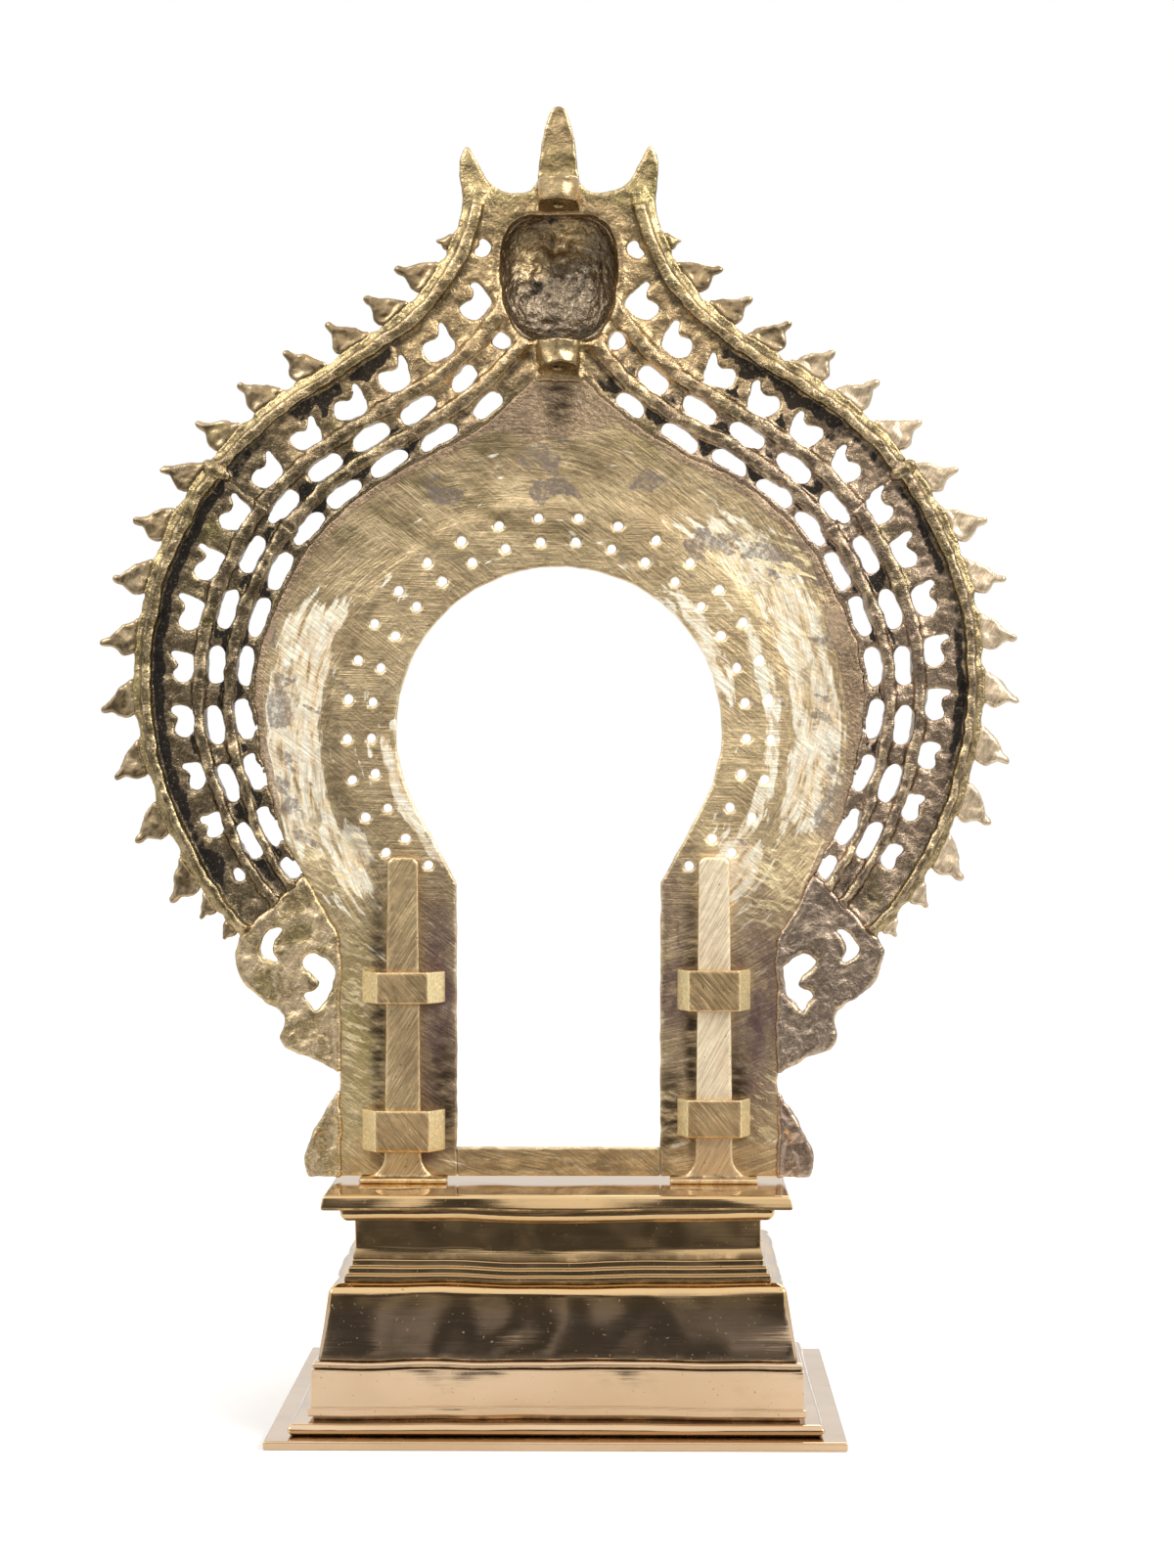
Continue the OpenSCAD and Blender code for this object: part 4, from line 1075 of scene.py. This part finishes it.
# %% [markdown]
# ## The halo plate and its sill
# The plate is the one large plain surface, so its shape has to come from light. The zone outside the lacing
# holes is sunk a little and hollowed towards the openwork, and the file left shallow waves. All of these are
# real dents in the mesh. The step of the sunk zone is laid again as a soft slope, because a file leaves no
# crisp wall.

# %% Plate depth
SUNK = 0.0005
SHOULDER_Z = 0.2191
DISH_DEPTH = 0.0009
DISH_MIDDLE, DISH_HALF = 0.109, 0.017
FILE_WAVES = 0.0003


def plate_depth(points, ring):
    """How far the filed rear face lies under the plane of the plate."""
    above = smoothly(points[:, 2], SHOULDER_Z - 0.008, SHOULDER_Z + 0.02)
    sunk = SUNK * smoothly(ring, LACING_EDGE - 0.0015, LACING_EDGE + 0.005)
    dish = DISH_DEPTH * np.exp(-((ring - DISH_MIDDLE) / DISH_HALF) ** 2)
    waves = 0.5 + 0.5 * drift(points * (1, 1, 0.6), 0.016, 31)[:, 0]
    return above * (sunk + dish) + FILE_WAVES * waves


print("the plate is hollowed by up to", round((SUNK + DISH_DEPTH + FILE_WAVES) / MM, 1), "mm")

# %% [markdown]
# Each stain lies where it does on the real plate. A few of these marks are painted light: the cream on the
# flanks is partly a painted reflection, the dark strips beside the tangs and under the lower lug are partly
# painted shadow, and the strip along the step is painted shade. Some are ellipses: across, up, half width
# and half height in millimetres. The long ones follow the keyhole, so they are bands of its ring.

# %% Plate stains
PADS_AT = ((74, 227, 12, 16), (-84.5, 228, 9, 18))
# Dark marks: smears on the legs, and strips of painted shadow beside the two tangs and under the lower lug.
DIRT_AND_SHADOW_AT = (
    (-73.8, 165, 3.6, 60), (54.5, 160, 3.6, 65), (46, 125, 7, 22), (0, 418, 7, 14), (-46.5, 130, 6, 30),
    (73, 135, 5, 20))
SILL_DIRT_AT = (0, 103, 70, 9)
STAINS = {
    "bitten": (
        (-83, 162, 8, 45), (-92, 230, 12, 20), (88, 220, 16, 20), (83, 128, 8, 16), (100, 350, 30, 30)),
    "bloom": (
        (-48.5, 165, 10, 60), (81.5, 168, 15, 48), (47, 190, 8, 50), (-58, 112, 12, 10)),
    "green": ((-84, 150, 10, 55), (36, 408, 22, 12)),
    "pitted": (
        (-115, 293, 6, 14), (-111, 257, 7, 12), (-104, 235, 6, 6), (-119, 322, 5, 8), (-8, 394, 13, 8),
        (-2, 380, 13, 6), (36, 384, 9, 7), (-46, 379, 9, 7), (60, 357, 14, 8), (115, 250, 10, 20),
        (88, 356, 20, 10), (116, 325, 10, 12), (108, 285, 6, 10))}
UNFILED_TOP = (0, 420, 32, 22)


def mark_stains(mesh, points, ring, gap):
    """Keep every stain as a value: by its place, or by its ring round the keyhole and its height; the bright
    and dark values also hold painted light and shade.
    """
    x, z = points[:, 0] / MM, points[:, 2] / MM
    ring, gap = ring / MM, gap / MM
    on_left, on_right = smoothly(x, 0, -30), smoothly(x, 30, 60)
    # The bright flanks are filed metal and partly a painted reflection of a lamp.
    left_flank = on_left * band(ring, 95, 100, 117, 123) * band(z, 222, 240, 325, 346)
    right_flank = on_right * band(ring, 93, 98, 113, 120) * band(z, 230, 250, 355, 385)
    flanks = 0.85 * np.maximum(left_flank, right_flank)
    strip = on_left * smoothly(ring, 75.5, 71.5) * band(z, 208, 216, 268, 295)
    streak = 0.68 * on_right * band(ring, 82.5, 85, 89.5, 92.5) * band(z, 210, 225, 320, 345)
    brow = 0.75 * on_right * smoothly(ring, 78, 72.5) * band(z, 288, 300, 335, 352)
    keep_value(mesh, "bright", np.max([flanks, strip, streak, stains(points, PADS_AT), brow], 0))
    for name, places in STAINS.items():
        keep_value(mesh, name, stains(points, places))
    # Painted shade: a darker strip along the step of the sunk zone.
    step_shade = 0.5 * on_left * band(ring, 88.5, 91, 95.5, 99) * band(z, 200, 220, 330, 350)
    sill_dirt = 0.5 * stain(points, *SILL_DIRT_AT)
    keep_value(mesh, "darkening", np.max([stains(points, DIRT_AND_SHADOW_AT), step_shade, sill_dirt], 0))
    beyond = on_right * smoothly(ring, 115, 121) * band(z, 200, 230, 325, 350)
    edge = smoothly(gap, 5.5, 2) * smoothly(z, 235, 260)
    keep_value(mesh, "unfiled", np.max([edge, beyond, stain(points, *UNFILED_TOP)], 0))


print("ellipses of each stain:", {name: len(places) for name, places in STAINS.items()})

# %% [markdown]
# The sill is filed like the plate, so both go through the same steps: melt, soften, mark the stains, let the
# outline wander and lay the rear face on its hollow.

# %% Halo plate
PLATE_VOXEL = 0.00098


def filed_plate(node):
    piece = melt(solid_copy(node, node + "_filed"), PLATE_VOXEL)
    mesh = piece.data
    gap = joint_gap(node, points_of(mesh))
    free = smoothly(gap, JOINT_HELD, JOINT_FREE)
    points = settle(mesh, passes=2, share=0.5 * free[:, None])
    rear = smoothly(points_of(mesh, "normal")[:, 1], -0.3, -0.7) * (points[:, 1] < PLATE_REAR + 0.002)
    ring = np.hypot(points[:, 0], points[:, 2] - KEYHOLE_Z)
    level = PLATE_REAR + plate_depth(points, ring)
    mark_stains(mesh, points, ring, gap)
    points += wax_wander(points) * (1, 0, 1) * (1 - 0.6 * free[:, None])
    points[:, 1] += rear * (level - points[:, 1])
    move_points(mesh, points)
    keep_relief(mesh, "relief", relief_of(mesh, passes=10, depth=0.0014), free)
    seat(piece, node, "arch", filed_plate_brass)


for node in ("halo_plate", "sill_bar"):
    filed_plate(node)

# %% [markdown]
# ## Tangs and keepers
# Two flat bars stand on the deck, and four bent straps on the arch slide over them. They are plain filed
# bar, so they need only soft edges. A bevel would do, but the straps also have hammered faces that
# aren't quite flat, and the melt gives both at once. The slots stay free, because the dents only go inward.

# %% Bars
TANG_VOXEL, KEEPER_VOXEL = 0.0007, 0.0005
KEEPER_SINK = 0.0007
BAR_DENT = 0.0003


def filed_bar(node, body, finish, voxel, sink=0.0):
    """Soften a bar and dent its rear; the feet of a strap sink into the plate."""
    piece = melt(solid_copy(node, node + "_filed"), voxel)
    mesh = piece.data
    points = settle(mesh, passes=3)
    dent = 0.5 + 0.5 * drift(points, 0.007, 41)[:, 0]
    rear = smoothly(points_of(mesh, "normal")[:, 1], -0.3, -0.8)
    points[:, 1] += rear * BAR_DENT * dent
    points[:, 1] += sink * smoothly(points[:, 1], PLATE_REAR - 0.0012, PLATE_REAR - 0.0003)
    move_points(mesh, points)
    keep_value(mesh, "relief", relief_of(mesh, passes=10, depth=0.0012))
    seat(piece, node, body, finish)


filed_bar("left_tang", "pedestal", tan_bar_brass, TANG_VOXEL)
filed_bar("right_tang", "pedestal", pale_bar_brass, TANG_VOXEL)
for side in ("left", "right"):
    for height in ("upper", "lower"):
        filed_bar(f"{side}_{height}_keeper", "arch", keeper_brass, KEEPER_VOXEL, KEEPER_SINK)

# %% [markdown]
# ## The pedestal courses
# The pedestal was built up from cast and brazed mouldings and buffed until its edges ran a little wavy. Long
# flat mirrors show every voxel, so these pieces aren't melted. Their faces are merged, their edges
# bevelled, and then cut across every few millimetres, so that one slow wave can run through the whole stack.
# Weighted normals keep each flat flat right up to its round edge, or else the mirror would bend there.

# %% Courses
EDGE_ROUND = {"deck_plate": 0.0018, "cornice": 0.0012, "sloping_band": 0.0011, "foot_moulding": 0.001}
FINE_ROUND = 0.0006
CUT_PITCH = 0.005
DECK_LEAN = 2.0
WAVE = 0.0012
WAVE_Z = (0.004, 0.012, 0.088, 0.096)
SEAM_DIRT = 0.25


def stack_wave(points):
    """The slow wave of a hand-buffed stack; the floor face and the deck stay flat."""
    free = band(points[:, 2], *WAVE_Z)
    wave = WAVE * drift(points, 0.06, 51) + 0.45 * WAVE * drift(points, 0.022, 52)
    return free[:, None] * wave


def cut_across(skin, low, high):
    for axis in range(3):
        span = np.arange(low[axis] + CUT_PITCH, high[axis] - CUT_PITCH / 2, CUT_PITCH)
        for place in span:
            spot, along = [0, 0, 0], [0, 0, 0]
            spot[axis], along[axis] = place, 1
            everything = skin.verts[:] + skin.edges[:] + skin.faces[:]
            bmesh.ops.bisect_plane(skin, geom=everything, plane_co=spot, plane_no=along)


def polished_course(node):
    """Merge, bevel, cut and wave one course, and mark the dirt along the seam at its foot."""
    piece = solid_copy(node, node + "_polished")
    rework(piece.data, lambda skin: bmesh.ops.dissolve_limit(
        skin, angle_limit=math.radians(1), verts=skin.verts, edges=skin.edges))
    bevel = piece.modifiers.new("edges", "BEVEL")
    bevel.width = EDGE_ROUND.get(node, FINE_ROUND)
    bevel.segments = 3
    bevel.limit_method = "ANGLE"
    bevel.angle_limit = math.radians(20)
    apply_modifiers(piece)
    rework(piece.data, lambda skin: cut_across(skin, *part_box(node)))
    points = points_of(piece.data)
    above_seam = points[:, 2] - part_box(node)[0].z
    if node == "deck_plate":
        points[:, :2] *= 1 - DECK_LEAN * above_seam[:, None]
    move_points(piece.data, points + stack_wave(points))
    darkening = 0.0 if node == "foot_plate" else SEAM_DIRT
    keep_value(piece.data, "relief", FLAT + darkening * smoothly(above_seam, 0.0018, 0.0005))
    piece.data.shade_smooth()
    piece.data.set_sharp_from_angle(angle=math.radians(40))
    flats = piece.modifiers.new("flats", "WEIGHTED_NORMAL")
    flats.keep_sharp, flats.weight = True, 90
    apply_modifiers(piece)
    seat(piece, node, "pedestal", polished_brass)


for node in ("foot_plate", "foot_moulding", "plinth_band", "plinth_roll", "sloping_band", "step_fillets",
        "neck_band", "cornice", "deck_plate"):
    polished_course(node)

# %% [markdown]
# ## Measure and finish
# The dressed model must keep the size of the solids, so the last line prints how far the dressed box has
# grown past the box of the solids. Each piece rides on a body and stands for its node.

shown_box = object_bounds()
growth = (shown_box[1] - shown_box[0]) - (cad_box[1] - cad_box[0])
print("grown by", [round(v * 1000, 2) for v in growth], "mm")
